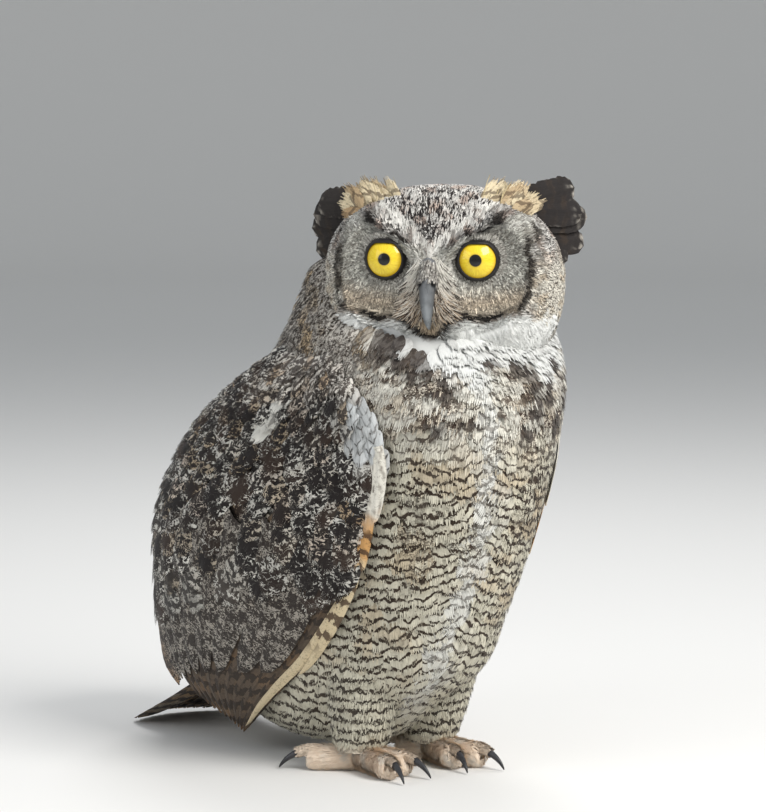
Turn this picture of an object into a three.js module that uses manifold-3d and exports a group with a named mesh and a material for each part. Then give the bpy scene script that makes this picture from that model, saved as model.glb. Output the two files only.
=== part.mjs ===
// A great horned owl standing at rest, life size, in millimetres, as a still model in named pieces.
//
// Frame: +X is the owl's left, -Y the way its breast faces, +Z up. The floor is Z = 0, and the origin lies
// on it, under the middle of the bird's length. In the comments, "forward" is distance along -Y and "side"
// along X. The head is turned to the owl's right, so it is modelled in a frame of its own and turned whole.

import * as THREE from 'three';
import { mergeVertices } from 'three/addons/utils/BufferGeometryUtils.js';
import Module from 'manifold-3d';

const wasm = await Module();
wasm.setup();

// ---------------------------------------------------------------- driving dimensions

const GAP = 0.3; // clear space between neighbouring pieces
const SLACK = 0.14; // how far a cut face may move when its slivers are merged
const SECTION_POWER = 2.4; // roundness of a slice through the body: 2 is an ellipse, more is boxier
const NECK_CUT = 255; // height at which neck and trunk part

// Level slices through trunk and neck:
// [height, forward reach, backward reach, half width, shift to the left].
// Under the belly the slices are the vent, behind the legs; at the neck they lean away from the head.
const BODY = [
  [12, 34, -46, 20, 0],
  [22, 66, -66, 36, 0],
  [34, 82, -80, 45, 0],
  [48, 98, -92, 53, 0],
  [64, 122, -102, 60, 0],
  [80, 136, -112, 66, 0],
  [100, 145, -126, 70, 0],
  [137, 163, -146, 77, 0],
  [178, 180, -141, 80, 0],
  [218, 193, -106, 81, 0],
  [250, 198, -60, 82, 0],
  [275, 188, -25, 82, 4],
  [300, 166, -5, 80, 8],
  [322, 142, 8, 71, 6],
  [338, 126, 22, 62, 0],
  [350, 112, 34, 52, -4],
];

// Level slices through the outside of the folded wings, in the same terms.
const CLOAK = [
  [10, 40, -118, 49],
  [40, 100, -164, 60],
  [60, 118, -170, 67],
  [110, 152, -161, 87],
  [164, 174, -150, 95],
  [218, 190, -108, 95],
  [261, 193, -50, 88],
  [288, 180, -8, 76],
];

// Where the wing lies on those slices: [height, angle of its front edge, angle of its back edge], with 0
// straight ahead.
const WING_EDGES = [
  [10, 92, 112],
  [47, 76, 146],
  [70, 64.5, 166],
  [94, 56.5, 174],
  [117, 51, 175],
  [137, 47.5, 174],
  [191, 46.5, 166],
  [222, 49, 155],
  [245, 58, 143],
  [265, 72, 130],
  [288, 92, 112],
];
const WING_THICK = 17; // at the middle of the wing
const WING_EDGE_THICK = 7;

const HEAD = {
  forward: 116,
  up: 328,
  turn: 49, // degrees to the owl's right
  halfWidth: 78,
  front: 50,
  back: 70,
  crown: 63,
  chin: 64,
  power: 2.35,
};
const EYE = { side: 28.5, up: 18, forward: 35, radius: 17.5, splay: 9 };
// The upper bill's ridge bends from its first slope to its last, in degrees below level, and hooks back in.
const BILL = {
  length: 45.5,
  rootForward: 52,
  rootUp: 12,
  width: 12,
  depth: 17,
  firstSlope: 35,
  lastSlope: 145,
};
// The feathers of a tuft fan out between two angles, in degrees above level.
const EAR_TUFT = {
  side: 40,
  up: 47,
  forward: 14,
  length: 62,
  feathers: 5,
  thick: 9,
  highest: 20,
  lowest: -36,
};

// The tail's tip is pressed flat where it lies on the floor, by cutting off what would reach below it.
const TAIL = {
  rootForward: -38,
  rootUp: 84,
  tipForward: -198,
  tipUp: 1.2,
  rootWidth: 62,
  tipWidth: 88,
  rootThick: 44,
  tipThick: 5,
};

const LEG = { side: 30, forward: 64, top: 92, ankle: 15, topRadius: 28.5, ankleRadius: 14.5 };
const TOE_RADIUS = 10;
// Toes as [direction in degrees from straight ahead, outwards positive; length to the claw].
const TOES = [
  ['inner', -14, 42],
  ['middle', 11, 47],
  ['outer', 132, 36],
  ['hind', 192, 27],
];
const CLAW = { length: 33, radius: 3.3, drop: 68 };

// ---------------------------------------------------------------- small helpers

const radians = THREE.MathUtils.degToRad;
const { clamp, lerp, smoothstep } = THREE.MathUtils;
const bell = (distance, width) => Math.exp(-((distance / width) ** 2));
const signedPower = (value, power) => Math.sign(value) * Math.abs(value) ** power;
const place = (side, forward, up) => new THREE.Vector3(side, -forward, up);

// Smooth values between the rows of a table whose first column rises: a cubic through each row.
function between(table, height) {
  const last = table.length - 1;
  const at = clamp(height, table[0][0], table[last][0]);
  let row = table.findIndex((r) => r[0] >= at);
  row = Math.max(row, 1);
  const [low, high] = [table[row - 1], table[row]];
  const before = table[Math.max(row - 2, 0)];
  const after = table[Math.min(row + 1, last)];
  const span = high[0] - low[0];
  const t = (at - low[0]) / span;
  return low.slice(1).map((value, k) => {
    const next = high[k + 1];
    const slopeIn = ((next - before[k + 1]) / (high[0] - before[0])) * span;
    const slopeOut = ((after[k + 1] - value) / (after[0] - low[0])) * span;
    const bend = 3 * (next - value) - 2 * slopeIn - slopeOut;
    const twist = slopeIn + slopeOut - 2 * (next - value);
    return value + t * (slopeIn + t * (bend + t * twist));
  });
}

// A point of a level slice: angle 0 is straight ahead, 90 the owl's left, 180 the back.
function slicePoint(table, height, angle, inset = 0) {
  const [front, back, half, shift = 0] = between(table, height);
  const middle = (front + back) / 2;
  const reach = (front - back) / 2 - inset;
  const side = signedPower(Math.sin(radians(angle)), 2 / SECTION_POWER) * (half - inset) + shift;
  const forward = middle + signedPower(Math.cos(radians(angle)), 2 / SECTION_POWER) * reach;
  return place(side, forward, height);
}

// ---------------------------------------------------------------- closed surfaces

// One closed surface over rings of equal length, each end closed by a fan to its middle.
function tube(rings) {
  const count = rings[0].length;
  const middleOf = (ring) => ring.reduce((sum, p) => sum.add(p), new THREE.Vector3()).divideScalar(count);
  const points = [...rings.flat(), middleOf(rings[0]), middleOf(rings.at(-1))];
  const index = [];
  for (let r = 0; r < rings.length - 1; r++) {
    for (let c = 0; c < count; c++) {
      const [a, b] = [r * count + c, r * count + ((c + 1) % count)];
      index.push(a, b, b + count, a, b + count, a + count);
    }
  }
  const [start, end] = [points.length - 2, points.length - 1];
  const top = (rings.length - 1) * count;
  for (let c = 0; c < count; c++) {
    const d = (c + 1) % count;
    index.push(start, d, c, end, top + c, top + d);
  }
  return closed(points, index);
}

// A geometry of points and triangles that face outwards.
function closed(points, index) {
  const geometry = new THREE.BufferGeometry().setFromPoints(points);
  geometry.setIndex(index);
  if (volumeOf(geometry) < 0) {
    for (let i = 0; i < index.length; i += 3) [index[i + 1], index[i + 2]] = [index[i + 2], index[i + 1]];
    geometry.setIndex(index);
  }
  geometry.computeVertexNormals();
  return geometry;
}

function volumeOf(geometry) {
  const position = geometry.getAttribute('position');
  const corner = (i) => new THREE.Vector3().fromBufferAttribute(position, geometry.index.getX(i));
  let six = 0;
  for (let i = 0; i < geometry.index.count; i += 3) {
    six += corner(i).dot(corner(i + 1).cross(corner(i + 2)));
  }
  return six / 6;
}

// A closed slab between two grids of points of the same size, joined round their rims.
function slab(outer, inner) {
  const [rows, columns] = [outer.length, outer[0].length];
  const points = [...outer.flat(), ...inner.flat()];
  const under = rows * columns;
  const index = [];
  const quad = (a, b, c, d) => index.push(a, b, c, a, c, d);
  for (let r = 0; r < rows - 1; r++) {
    for (let c = 0; c < columns - 1; c++) {
      const at = r * columns + c;
      quad(at, at + 1, at + columns + 1, at + columns);
      quad(under + at, under + at + columns, under + at + columns + 1, under + at + 1);
    }
  }
  const rim = [];
  for (let c = 0; c < columns - 1; c++) rim.push(c);
  for (let r = 0; r < rows - 1; r++) rim.push(r * columns + columns - 1);
  for (let c = columns - 1; c > 0; c--) rim.push((rows - 1) * columns + c);
  for (let r = rows - 1; r > 0; r--) rim.push(r * columns);
  rim.forEach((a, k) => {
    const b = rim[(k + 1) % rim.length];
    quad(b, a, under + a, under + b);
  });
  return closed(points, index);
}

// The same surface with every face moved outwards by a distance, for cutting a clear fit into a neighbour.
function grown(geometry, distance = 1.5 * GAP) {
  const copy = geometry.clone();
  const position = copy.getAttribute('position');
  const at = (i) => new THREE.Vector3().fromBufferAttribute(position, i);
  const faces = Array.from({ length: position.count }, () => []);
  for (let i = 0; i < copy.index.count; i += 3) {
    const [a, b, c] = [0, 1, 2].map((k) => copy.index.getX(i + k));
    const normal = at(b).sub(at(a)).cross(at(c).sub(at(a)));
    if (normal.length() > 1e-6) [a, b, c].forEach((v) => faces[v].push(normal.clone().normalize()));
  }
  const moved = faces.map((normals, i) => {
    const mean = normals.reduce((sum, n) => sum.add(n), new THREE.Vector3()).normalize();
    const least = Math.min(...normals.map((n) => n.dot(mean)));
    return at(i).addScaledVector(mean, distance / clamp(least, 0.4, 1));
  });
  moved.forEach((p, i) => position.setXYZ(i, p.x, p.y, p.z));
  return copy;
}

// ---------------------------------------------------------------- solids

function solid(geometry, matrix = new THREE.Matrix4()) {
  const bare = geometry.clone().applyMatrix4(matrix);
  bare.deleteAttribute('normal');
  bare.deleteAttribute('uv');
  const merged = mergeVertices(bare, 1e-3);
  return new wasm.Manifold(new wasm.Mesh({
    numProp: 3,
    vertProperties: new Float32Array(merged.getAttribute('position').array),
    triVerts: new Uint32Array(merged.index.array),
  }));
}

const joined = (solids) => solids.reduce((whole, next) => whole.add(next));
const without = (whole, cutters) => cutters.reduce((left, cutter) => left.subtract(cutter), whole);

// Everything below (or above) a height, as one large block.
function halfSpace(height, below) {
  const size = 1000;
  const block = new THREE.BoxGeometry(size, size, size);
  return solid(block, new THREE.Matrix4().makeTranslation(0, 0, height + (below ? -size / 2 : size / 2)));
}

const owl = new THREE.Group();

function addPiece(name, shape, material) {
  const { vertProperties, triVerts, numProp } = shape.simplify(SLACK).getMesh();
  const geometry = new THREE.BufferGeometry();
  const positions = new Float32Array((vertProperties.length / numProp) * 3);
  for (let i = 0; i < positions.length / 3; i++) {
    positions.set(vertProperties.subarray(i * numProp, i * numProp + 3), i * 3);
  }
  geometry.setAttribute('position', new THREE.BufferAttribute(positions, 3));
  geometry.setIndex(new THREE.BufferAttribute(new Uint32Array(triVerts), 1));
  geometry.computeVertexNormals();
  const mesh = new THREE.Mesh(geometry, material);
  mesh.name = name;
  owl.add(mesh);
}

// ---------------------------------------------------------------- materials

const finish = (color, roughness) => new THREE.MeshStandardMaterial({ color, roughness, metalness: 0 });
const MATERIALS = {
  breast: finish(0xb9ae9c, 0.9),
  mantle: finish(0x6a6258, 0.9),
  face: finish(0x8f8779, 0.9),
  tuft: finish(0x3b332c, 0.9),
  leg: finish(0xc8b291, 0.9),
  horn: finish(0x2e3033, 0.35),
  iris: finish(0xf2c40f, 0.1),
};

// ---------------------------------------------------------------- body: trunk and neck

function bodyGeometry() {
  const columns = 26;
  const heights = [
    12, 16, 24, 36, 50, 66, 84, 108, 136, 166,
    196, 224, 248, 268, 286, 304, 320, 334, 343, 350,
  ];
  return tube(heights.map((height) => {
    const ring = [];
    for (let c = 0; c < columns; c++) ring.push(slicePoint(BODY, height, (c / columns) * 360));
    return ring;
  }));
}

// ---------------------------------------------------------------- folded wing

// The wing is a curved slab on the cloak's outside: thick in the middle, thin at its edges, narrow at its
// tip.
function wingGeometry(sign) {
  const [rows, columns] = [13, 7];
  const [bottom, top] = [WING_EDGES[0][0], WING_EDGES.at(-1)[0]];
  const grid = (depthShare) => Array.from({ length: rows }, (_, r) => {
    const height = lerp(bottom, top, r / (rows - 1));
    const [lead, trail] = between(WING_EDGES, height);
    return Array.from({ length: columns }, (__, c) => {
      const across = c / (columns - 1);
      const upwards = clamp(r / (rows - 1), 0.12, 0.9);
      const fullness = Math.sin(Math.PI * across) ** 0.6 * Math.sin(Math.PI * upwards) ** 0.5;
      const thick = lerp(WING_EDGE_THICK, WING_THICK, fullness);
      return slicePoint(CLOAK, height, sign * lerp(lead, trail, across), depthShare * thick);
    });
  });
  return slab(grid(0), grid(1));
}

// ---------------------------------------------------------------- head

// In the head's own frame, -Y is the way the face looks. The head is a rounded box, flatter in front, and
// its face is modelled by pushing the front surface forwards or back: a dish round each eye, a brow that
// runs from the bill up to each ear tuft, a bridge over the bill, full cheeks of bristles below it, and the
// disc's rim.
function faceRelief(side, up) {
  const across = Math.abs(side);
  const browLine = 17 + 31 * clamp(across / 44, 0, 1) ** 1.2;
  const brow = 8 * bell(up - browLine, 7) * smoothstep(across, 2, 14) * (1 - smoothstep(across, 44, 58));
  const dish = -8 * bell(Math.hypot(across - EYE.side, up - EYE.up), 17);
  const bridge = 9 * bell(across, 13) * bell(up - 10, 20);
  const cheek = 12 * bell(across - 11, 12) * bell(up + 14, 15);
  const rimDistance = Math.hypot(across - EYE.side, (up - 8) / 1.15) - 35.5;
  const rim = 5 * bell(rimDistance, 7) * smoothstep(across, 34, 52);
  return brow + dish + bridge + cheek + rim;
}

function headPoint(fromFace, around) {
  const [a, b] = [radians(fromFace), radians(around)];
  const [dx, df, dz] = [Math.sin(a) * Math.sin(b), Math.cos(a), Math.sin(a) * Math.cos(b)];
  const reach = [HEAD.halfWidth, df > 0 ? HEAD.front : HEAD.back, dz > 0 ? HEAD.crown : HEAD.chin];
  const share = [dx, df, dz].map((d, k) => Math.abs(d / reach[k]) ** HEAD.power);
  const radius = share.reduce((sum, s) => sum + s, 0) ** (-1 / HEAD.power);
  const [side, forward, up] = [dx * radius, df * radius, dz * radius];
  const facing = smoothstep(df, 0.12, 0.6);
  return place(side, forward + facing * faceRelief(side, up), up);
}

function headGeometry() {
  const [rings, columns] = [18, 30];
  return tube(Array.from({ length: rings }, (_, r) => {
    const fromFace = 3 + (r / (rings - 1)) ** 1.05 * 174;
    return Array.from({ length: columns }, (__, c) => headPoint(fromFace, (c / columns) * 360));
  }));
}

function eyeGeometry() {
  const ball = new THREE.SphereGeometry(EYE.radius, 16, 9);
  ball.deleteAttribute('normal');
  ball.deleteAttribute('uv');
  return mergeVertices(ball, 1e-3);
}

function eyeMatrix(sign) {
  const centre = place(sign * EYE.side, EYE.forward, EYE.up);
  return new THREE.Matrix4().makeRotationZ(radians(sign * EYE.splay)).setPosition(centre);
}

// A horn that curves in one plane: round slices whose middles follow an arc and whose size falls to a
// point. shape(t) gives [middle as a Vector3, half width, half depth] at t from 0, the root, to 1, the tip,
// and across is the direction at right angles to the plane.
function horn(shape, across, steps, columns) {
  return tube(Array.from({ length: steps }, (_, s) => {
    const t = s / (steps - 1);
    const [middle, halfWidth, halfDepth] = shape(t);
    const along = shape(Math.min(t + 0.02, 1))[0].sub(shape(Math.max(t - 0.02, 0))[0]).normalize();
    const upwards = new THREE.Vector3().crossVectors(along, across);
    return Array.from({ length: columns }, (__, c) => {
      const angle = (c / columns) * 2 * Math.PI;
      return middle.clone()
        .addScaledVector(across, Math.cos(angle) * halfWidth)
        .addScaledVector(upwards, Math.sin(angle) * halfDepth);
    });
  }));
}

// The upper bill: a ridge that leaves the face sloping down, stands furthest out halfway, and hooks in over
// the lower bill.
function upperBillGeometry() {
  const [first, last] = [radians(BILL.firstSlope), radians(BILL.lastSlope)];
  const swing = BILL.length / (last - first);
  return horn((t) => {
    const slope = lerp(first, last, t);
    const forward = BILL.rootForward + swing * (Math.sin(slope) - Math.sin(first));
    const up = BILL.rootUp - swing * (Math.cos(first) - Math.cos(slope));
    const taper = (1 - t ** 2.2) ** 0.8;
    const halfWidth = 0.6 + BILL.width / 2 * taper * (1 - 0.3 * t);
    const halfDepth = 0.6 + BILL.depth / 2 * taper;
    return [place(0, forward, up), halfWidth, halfDepth];
  }, place(1, 0, 0), 10, 10);
}

function lowerBillGeometry() {
  return horn((t) => {
    const taper = (1 - t ** 1.8) ** 0.7;
    const middle = place(0, BILL.rootForward - 12 + 14 * t, -17 - 4 * t ** 2);
    return [middle, 0.6 + 5.4 * taper, 0.6 + 4 * taper];
  }, place(1, 0, 0), 6, 8);
}

// An ear tuft: feathers that fan out from the end of the brow, outwards and back, joined into one solid.
function earTuft(sign) {
  const root = place(sign * EAR_TUFT.side, EAR_TUFT.forward, EAR_TUFT.up);
  const count = EAR_TUFT.feathers;
  return joined(Array.from({ length: count }, (_, k) => {
    const share = k / (count - 1);
    const length = EAR_TUFT.length * (0.84 + 0.18 * Math.sin(Math.PI * share) - 0.1 * share);
    const lift = radians(lerp(EAR_TUFT.highest, EAR_TUFT.lowest, share));
    const aim = place(sign * 0.9 * Math.cos(lift), -0.43 * Math.cos(lift), Math.sin(lift)).normalize();
    const flat = new THREE.Vector3().crossVectors(aim, place(sign * 0.43, 0.9, 0)).normalize();
    const thin = new THREE.Vector3().crossVectors(flat, aim).normalize();
    const rings = Array.from({ length: 5 }, (__, r) => {
      const t = r / 4;
      const width = 9.5 * Math.sqrt(Math.max(0.002, Math.min(1, (t + 0.12) * 2.4) * (1 - t ** 5)));
      const middle = root.clone().addScaledVector(aim, t * length);
      return Array.from({ length: 6 }, (___, c) => {
        const angle = (c / 6) * 2 * Math.PI;
        return middle.clone()
          .addScaledVector(flat, Math.cos(angle) * width)
          .addScaledVector(thin, Math.sin(angle) * (EAR_TUFT.thick / 2) * (1 - 0.6 * t));
      });
    });
    return solid(tube(rings), headMatrix);
  }));
}

const headMatrix = new THREE.Matrix4()
  .makeRotationZ(radians(-HEAD.turn))
  .setPosition(0, -HEAD.forward, HEAD.up);

// ---------------------------------------------------------------- tail

// The tail is a flat fan that slopes from the rump to the floor and ends in a shallow arc.
function tailGeometry() {
  const [rows, columns] = [8, 9];
  const grid = (sign) => Array.from({ length: rows }, (_, r) => {
    const along = r / (rows - 1);
    const half = lerp(TAIL.rootWidth, TAIL.tipWidth, along ** 0.7) / 2;
    const thick = lerp(TAIL.rootThick, TAIL.tipThick, along ** 0.55);
    return Array.from({ length: columns }, (__, c) => {
      const across = (c / (columns - 1)) * 2 - 1;
      const forward = lerp(TAIL.rootForward, TAIL.tipForward, along) + 13 * along * across ** 2;
      const slope = (1 - along) ** 1.15;
      const middle = lerp(TAIL.tipUp, TAIL.rootUp, slope) - 8 * (1 - along) * across ** 2;
      const edge = Math.sqrt(Math.max(0.3, 1 - across ** 4));
      return place(across * half, forward, middle + sign * (thick / 2) * edge);
    });
  });
  return slab(grid(1), grid(-1));
}

// ---------------------------------------------------------------- legs, feet and claws

function legGeometry(sign) {
  const [rows, columns] = [6, 14];
  return tube(Array.from({ length: rows }, (_, r) => {
    const t = r / (rows - 1);
    const radius = lerp(LEG.ankleRadius, LEG.topRadius, t ** 0.75);
    const height = lerp(LEG.ankle, LEG.top, t);
    return Array.from({ length: columns }, (__, c) => {
      const angle = (c / columns) * 2 * Math.PI;
      const forward = LEG.forward + 12 * t + 1.1 * radius * Math.cos(angle);
      return place(sign * LEG.side + radius * Math.sin(angle), forward, height);
    });
  }));
}

const toeAim = (sign, degrees) => place(sign * Math.sin(radians(degrees)), Math.cos(radians(degrees)), 0);

// A toe is a rounded rod from the ankle to the claw's root, thickest at its pad, whose underside is cut
// flat.
function toeGeometry(sign, degrees, length) {
  const [aim, ankle] = [toeAim(sign, degrees), place(sign * LEG.side, LEG.forward, 0)];
  const across = new THREE.Vector3(0, 0, 1).cross(aim);
  return tube(Array.from({ length: 6 }, (_, r) => {
    const t = r / 5;
    const radius = TOE_RADIUS * Math.sqrt(Math.max(0.03, 1 - Math.abs(2 * t - 1) ** 6)) * (0.94 + 0.1 * t);
    const middle = ankle.clone().addScaledVector(aim, lerp(-2, length, t));
    middle.z = lerp(10, 8, t);
    return Array.from({ length: 8 }, (__, c) => {
      const angle = (c / 8) * 2 * Math.PI;
      return middle.clone()
        .addScaledVector(across, radius * Math.cos(angle))
        .add(new THREE.Vector3(0, 0, radius * Math.sin(angle)));
    });
  }));
}

// A claw leaves the end of its toe level, then curves down until its tip is just clear of the floor.
function clawGeometry(sign, degrees, toeLength) {
  const [aim, ankle] = [toeAim(sign, degrees), place(sign * LEG.side, LEG.forward, 0)];
  const bend = radians(CLAW.drop);
  const swing = CLAW.length / bend;
  return horn((t) => {
    const turned = bend * t;
    const out = toeLength - 8 + swing * Math.sin(turned);
    const middle = ankle.clone().addScaledVector(aim, out);
    const fall = swing * (1 - Math.cos(turned));
    middle.z = 1.1 + (swing * (1 - Math.cos(bend)) - fall) * 0.72;
    const radius = 0.5 + (CLAW.radius - 0.5) * (1 - t) ** 0.75;
    return [middle, radius, radius * 1.1];
  }, new THREE.Vector3(0, 0, 1).cross(aim), 5, 6);
}

// ---------------------------------------------------------------- the owl, piece by piece

const SIDES = [['left', 1], ['right', -1]];
const floorBlock = halfSpace(0, true);

// One thing made for each side, kept under the side's name.
const both = (make) => Object.fromEntries(SIDES.map(([side, sign]) => [side, make(sign)]));

const head = headGeometry();
const eyes = both((sign) => headMatrix.clone().multiply(eyeMatrix(sign)));
const wings = both(wingGeometry);
const legs = both(legGeometry);
const tufts = both(earTuft);
const upperBill = upperBillGeometry();
const lowerBill = lowerBillGeometry();

// Every later piece gives way to the ones before it, with the gap between them.
const eyeRoom = SIDES.map(([side]) => solid(grown(eyeGeometry()), eyes[side]));
const billRoom = [solid(grown(upperBill), headMatrix), solid(grown(lowerBill), headMatrix)];
const headRoom = solid(grown(head), headMatrix);
const wingRoom = SIDES.map(([side]) => solid(grown(wings[side])));
const legRoom = SIDES.map(([side]) => solid(grown(legs[side])));
const body = solid(bodyGeometry());
const tail = without(solid(tailGeometry()), [...wingRoom, floorBlock]);
const tailRoom = solid(grown(tailGeometry()));

addPiece('head', without(solid(head, headMatrix), [...eyeRoom, ...billRoom]), MATERIALS.face);
SIDES.forEach(([side]) => addPiece(`eye_${side}`, solid(eyeGeometry(), eyes[side]), MATERIALS.iris));
addPiece('bill_upper', solid(upperBill, headMatrix), MATERIALS.horn);
addPiece('bill_lower', without(solid(lowerBill, headMatrix), [billRoom[0]]), MATERIALS.horn);
SIDES.forEach(([side]) => addPiece(`ear_tuft_${side}`, without(tufts[side], [headRoom]), MATERIALS.tuft));

const aboveTrunk = [halfSpace(NECK_CUT + GAP, true), headRoom, ...billRoom, ...wingRoom];
const belowNeck = [halfSpace(NECK_CUT, false), ...wingRoom, ...legRoom, tailRoom];
addPiece('neck', without(body, aboveTrunk), MATERIALS.breast);
addPiece('trunk', without(body, belowNeck), MATERIALS.breast);
SIDES.forEach(([side]) => addPiece(`wing_${side}`, solid(wings[side]), MATERIALS.mantle));
addPiece('tail', tail, MATERIALS.mantle);

SIDES.forEach(([side, sign], k) => {
  addPiece(`leg_${side}`, solid(legs[side]), MATERIALS.leg);
  const claws = TOES.map(([, degrees, length]) => clawGeometry(sign, degrees, length));
  const toes = joined(TOES.map(([, degrees, length]) => solid(toeGeometry(sign, degrees, length))));
  const clawRoom = claws.map((claw) => solid(grown(claw)));
  addPiece(`foot_${side}`, without(toes, [legRoom[k], floorBlock, ...clawRoom]), MATERIALS.leg);
  claws.forEach((claw, toe) => addPiece(`claw_${side}_${TOES[toe][0]}`, solid(claw), MATERIALS.horn));
});

export default owl;
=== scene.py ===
# %% [markdown]
# # A great horned owl at rest
#
# The owl stands with folded wings, its breast to -Y and its head turned to its own right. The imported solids
# give its outline out to the feather tips. This lesson dresses them: one skin lies inside the outline, and
# a coat of feathers, each a real piece of mesh, lies on the skin like the tiles of a roof.
#
# Everything is in metres, in the frame of the solids. Sizes are written in millimetres and multiplied by MM,
# because that is how a bird is measured.

# %% Load the solids
import bpy
import numpy as np
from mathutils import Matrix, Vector


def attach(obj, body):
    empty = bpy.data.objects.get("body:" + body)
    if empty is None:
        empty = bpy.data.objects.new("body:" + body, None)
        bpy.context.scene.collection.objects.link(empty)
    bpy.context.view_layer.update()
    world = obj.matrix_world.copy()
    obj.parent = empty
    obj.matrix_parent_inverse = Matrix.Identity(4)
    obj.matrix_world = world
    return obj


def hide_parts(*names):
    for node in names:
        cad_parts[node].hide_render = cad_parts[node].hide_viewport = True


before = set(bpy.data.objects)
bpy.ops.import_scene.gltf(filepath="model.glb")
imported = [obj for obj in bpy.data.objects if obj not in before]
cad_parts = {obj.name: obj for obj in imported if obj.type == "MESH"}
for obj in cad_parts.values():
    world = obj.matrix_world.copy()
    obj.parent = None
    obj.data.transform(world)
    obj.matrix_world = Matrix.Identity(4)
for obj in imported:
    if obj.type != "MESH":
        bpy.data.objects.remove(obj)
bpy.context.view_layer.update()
MM = 0.001

# %% [markdown]
# ## Small helpers
#
# Feathers are worked out as whole arrays, so the helpers below take arrays too. A smooth step is the soft
# switch that every marking uses, a bell is a soft spot, and a ripple is a soft random pattern. Colours are
# given as a paint chart would give them and turned to linear light.

# %% Array helpers
def smooth(x, low, high):
    """0 below low, 1 above high, and a smooth S between them."""
    t = np.clip((x - low) / (high - low), 0, 1)
    return t * t * (3 - 2 * t)


def bell(x, width):
    """1 at x = 0, falling to about a third at x = width."""
    return np.exp(-(x / width) ** 2)


def mix(a, b, t):
    """a where t is 0 and b where t is 1, with t spread over the last axis."""
    return a + (b - a) * np.asarray(t)[..., None]


def vectors(*parts):
    """Points, directions or map places from their coordinates, each an array or one number."""
    return np.stack(np.broadcast_arrays(*parts), axis=-1)


def unit(v):
    """Vectors scaled to length 1."""
    return v / np.maximum(np.linalg.norm(v, axis=-1, keepdims=True), 1e-12)


def square_to(v, normal):
    """The part of directions v that is square to a normal, scaled to length 1."""
    return unit(v - np.sum(v * normal, axis=-1, keepdims=True) * normal)


def full_turn(count):
    """Angles of a full turn in equal steps, without the last, which is the first again."""
    return np.linspace(0, 2 * np.pi, count, endpoint=False)


def grid_of(first, second):
    """Two ranges spread over a grid."""
    return np.meshgrid(first, second, indexing="ij")


def per_feather(values):
    """One value per feather, shaped to spread over its locks, rows and columns."""
    return np.asarray(values)[:, None, None, None]


def paint(red, green, blue):
    """A colour from 0 to 255 on a screen, as linear light."""
    c = np.array([red, green, blue]) / 255
    return np.where(c <= 0.04045, c / 12.92, ((c + 0.055) / 1.055) ** 2.4)


def ripple(p, size, seed=0):
    """A soft random value from -1 to 1: a sum of six sine waves, about size mm long, in fixed directions."""
    waves = np.random.default_rng(100 + seed)
    total = np.zeros(p.shape[:-1])
    for octave in range(6):
        direction = unit(waves.normal(size=3)) * (2 * np.pi / (size * MM * waves.uniform(0.6, 1.5)))
        total += np.sin(p @ direction + waves.uniform(0, 2 * np.pi))
    return np.clip(total / 3, -1, 1)


def dapple(p, size, seed, low, high):
    """A share from 0 to 1 in soft patches about size mm across: a smooth step of a ripple."""
    return smooth(ripple(p, size, seed), low, high)


# %% [markdown]
# ## Camera, floor and light
#
# The owl is seen from its front right, a little above its own level, with a long lens, so the picture is
# nearly free of perspective. The floor curves up into a backdrop, and three soft panels light it: a large
# one before and above the owl, a weak one on its shaded side, and one behind that picks out the outline.

# %% Camera
AZIMUTH, ELEVATION = -38, 6
DISTANCE = 3.2
VIEW_HEIGHT = 0.544
FEET_FORWARD = 64 * MM
VIEW_LEFT, VIEW_UP = 8 * MM, 240.5 * MM    # from the feet to the middle of the view
SENSOR = 36


def direction_from(azimuth, elevation):
    """The direction of an azimuth, 0 before the breast and 90 to the owl's left, and an elevation."""
    a, e = np.radians([azimuth, elevation])
    return np.array([np.sin(a) * np.cos(e), -np.cos(a) * np.cos(e), np.sin(e)])


def look_from(place, target, thing):
    """Puts a camera or light at place, facing target."""
    thing.location = place
    thing.rotation_euler = Vector(target - place).to_track_quat("-Z", "Y").to_euler()
    bpy.context.collection.objects.link(thing)


towards_camera = direction_from(AZIMUTH, ELEVATION)
to_the_right = direction_from(AZIMUTH + 90, 0)
upwards = np.cross(towards_camera, to_the_right)
aim_point = np.array([0, -FEET_FORWARD, 0]) - VIEW_LEFT * to_the_right + VIEW_UP * upwards

camera = bpy.data.objects.new("camera", bpy.data.cameras.new("camera"))
camera.data.lens = SENSOR * DISTANCE / VIEW_HEIGHT
camera.data.sensor_width = SENSOR
look_from(aim_point + towards_camera * DISTANCE, aim_point, camera)
bpy.context.scene.camera = camera
print("lens", round(camera.data.lens), "mm at", DISTANCE, "m")


# %% Mesh helpers
def mesh_object(name, points, faces, material):
    """A smooth-shaded mesh object from an (n, 3) array of points and an (m, 4) array of quads."""
    mesh = bpy.data.meshes.new(name)
    mesh.vertices.add(len(points))
    mesh.vertices.foreach_set("co", np.ascontiguousarray(points, dtype=np.float32).ravel())
    mesh.loops.add(faces.size)
    mesh.loops.foreach_set("vertex_index", np.ascontiguousarray(faces, dtype=np.int32).ravel())
    mesh.polygons.add(len(faces))
    mesh.polygons.foreach_set("loop_start", np.arange(0, faces.size, faces.shape[1], dtype=np.int32))
    mesh.polygons.foreach_set("use_smooth", np.ones(len(faces), dtype=bool))
    mesh.update(calc_edges=True)
    piece = bpy.data.objects.new(name, mesh)
    bpy.context.collection.objects.link(piece)
    mesh.materials.append(material)
    return piece


def grid_faces(rows, columns, wrap=False):
    """Quads of a grid of rows by columns; wrap joins the last column to the first."""
    r, c = grid_of(np.arange(rows - 1), np.arange(columns if wrap else columns - 1))
    d = (c + 1) % columns
    corners = vectors(r * columns + c, r * columns + d, (r + 1) * columns + d, (r + 1) * columns + c)
    return corners.reshape(-1, 4)


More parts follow.
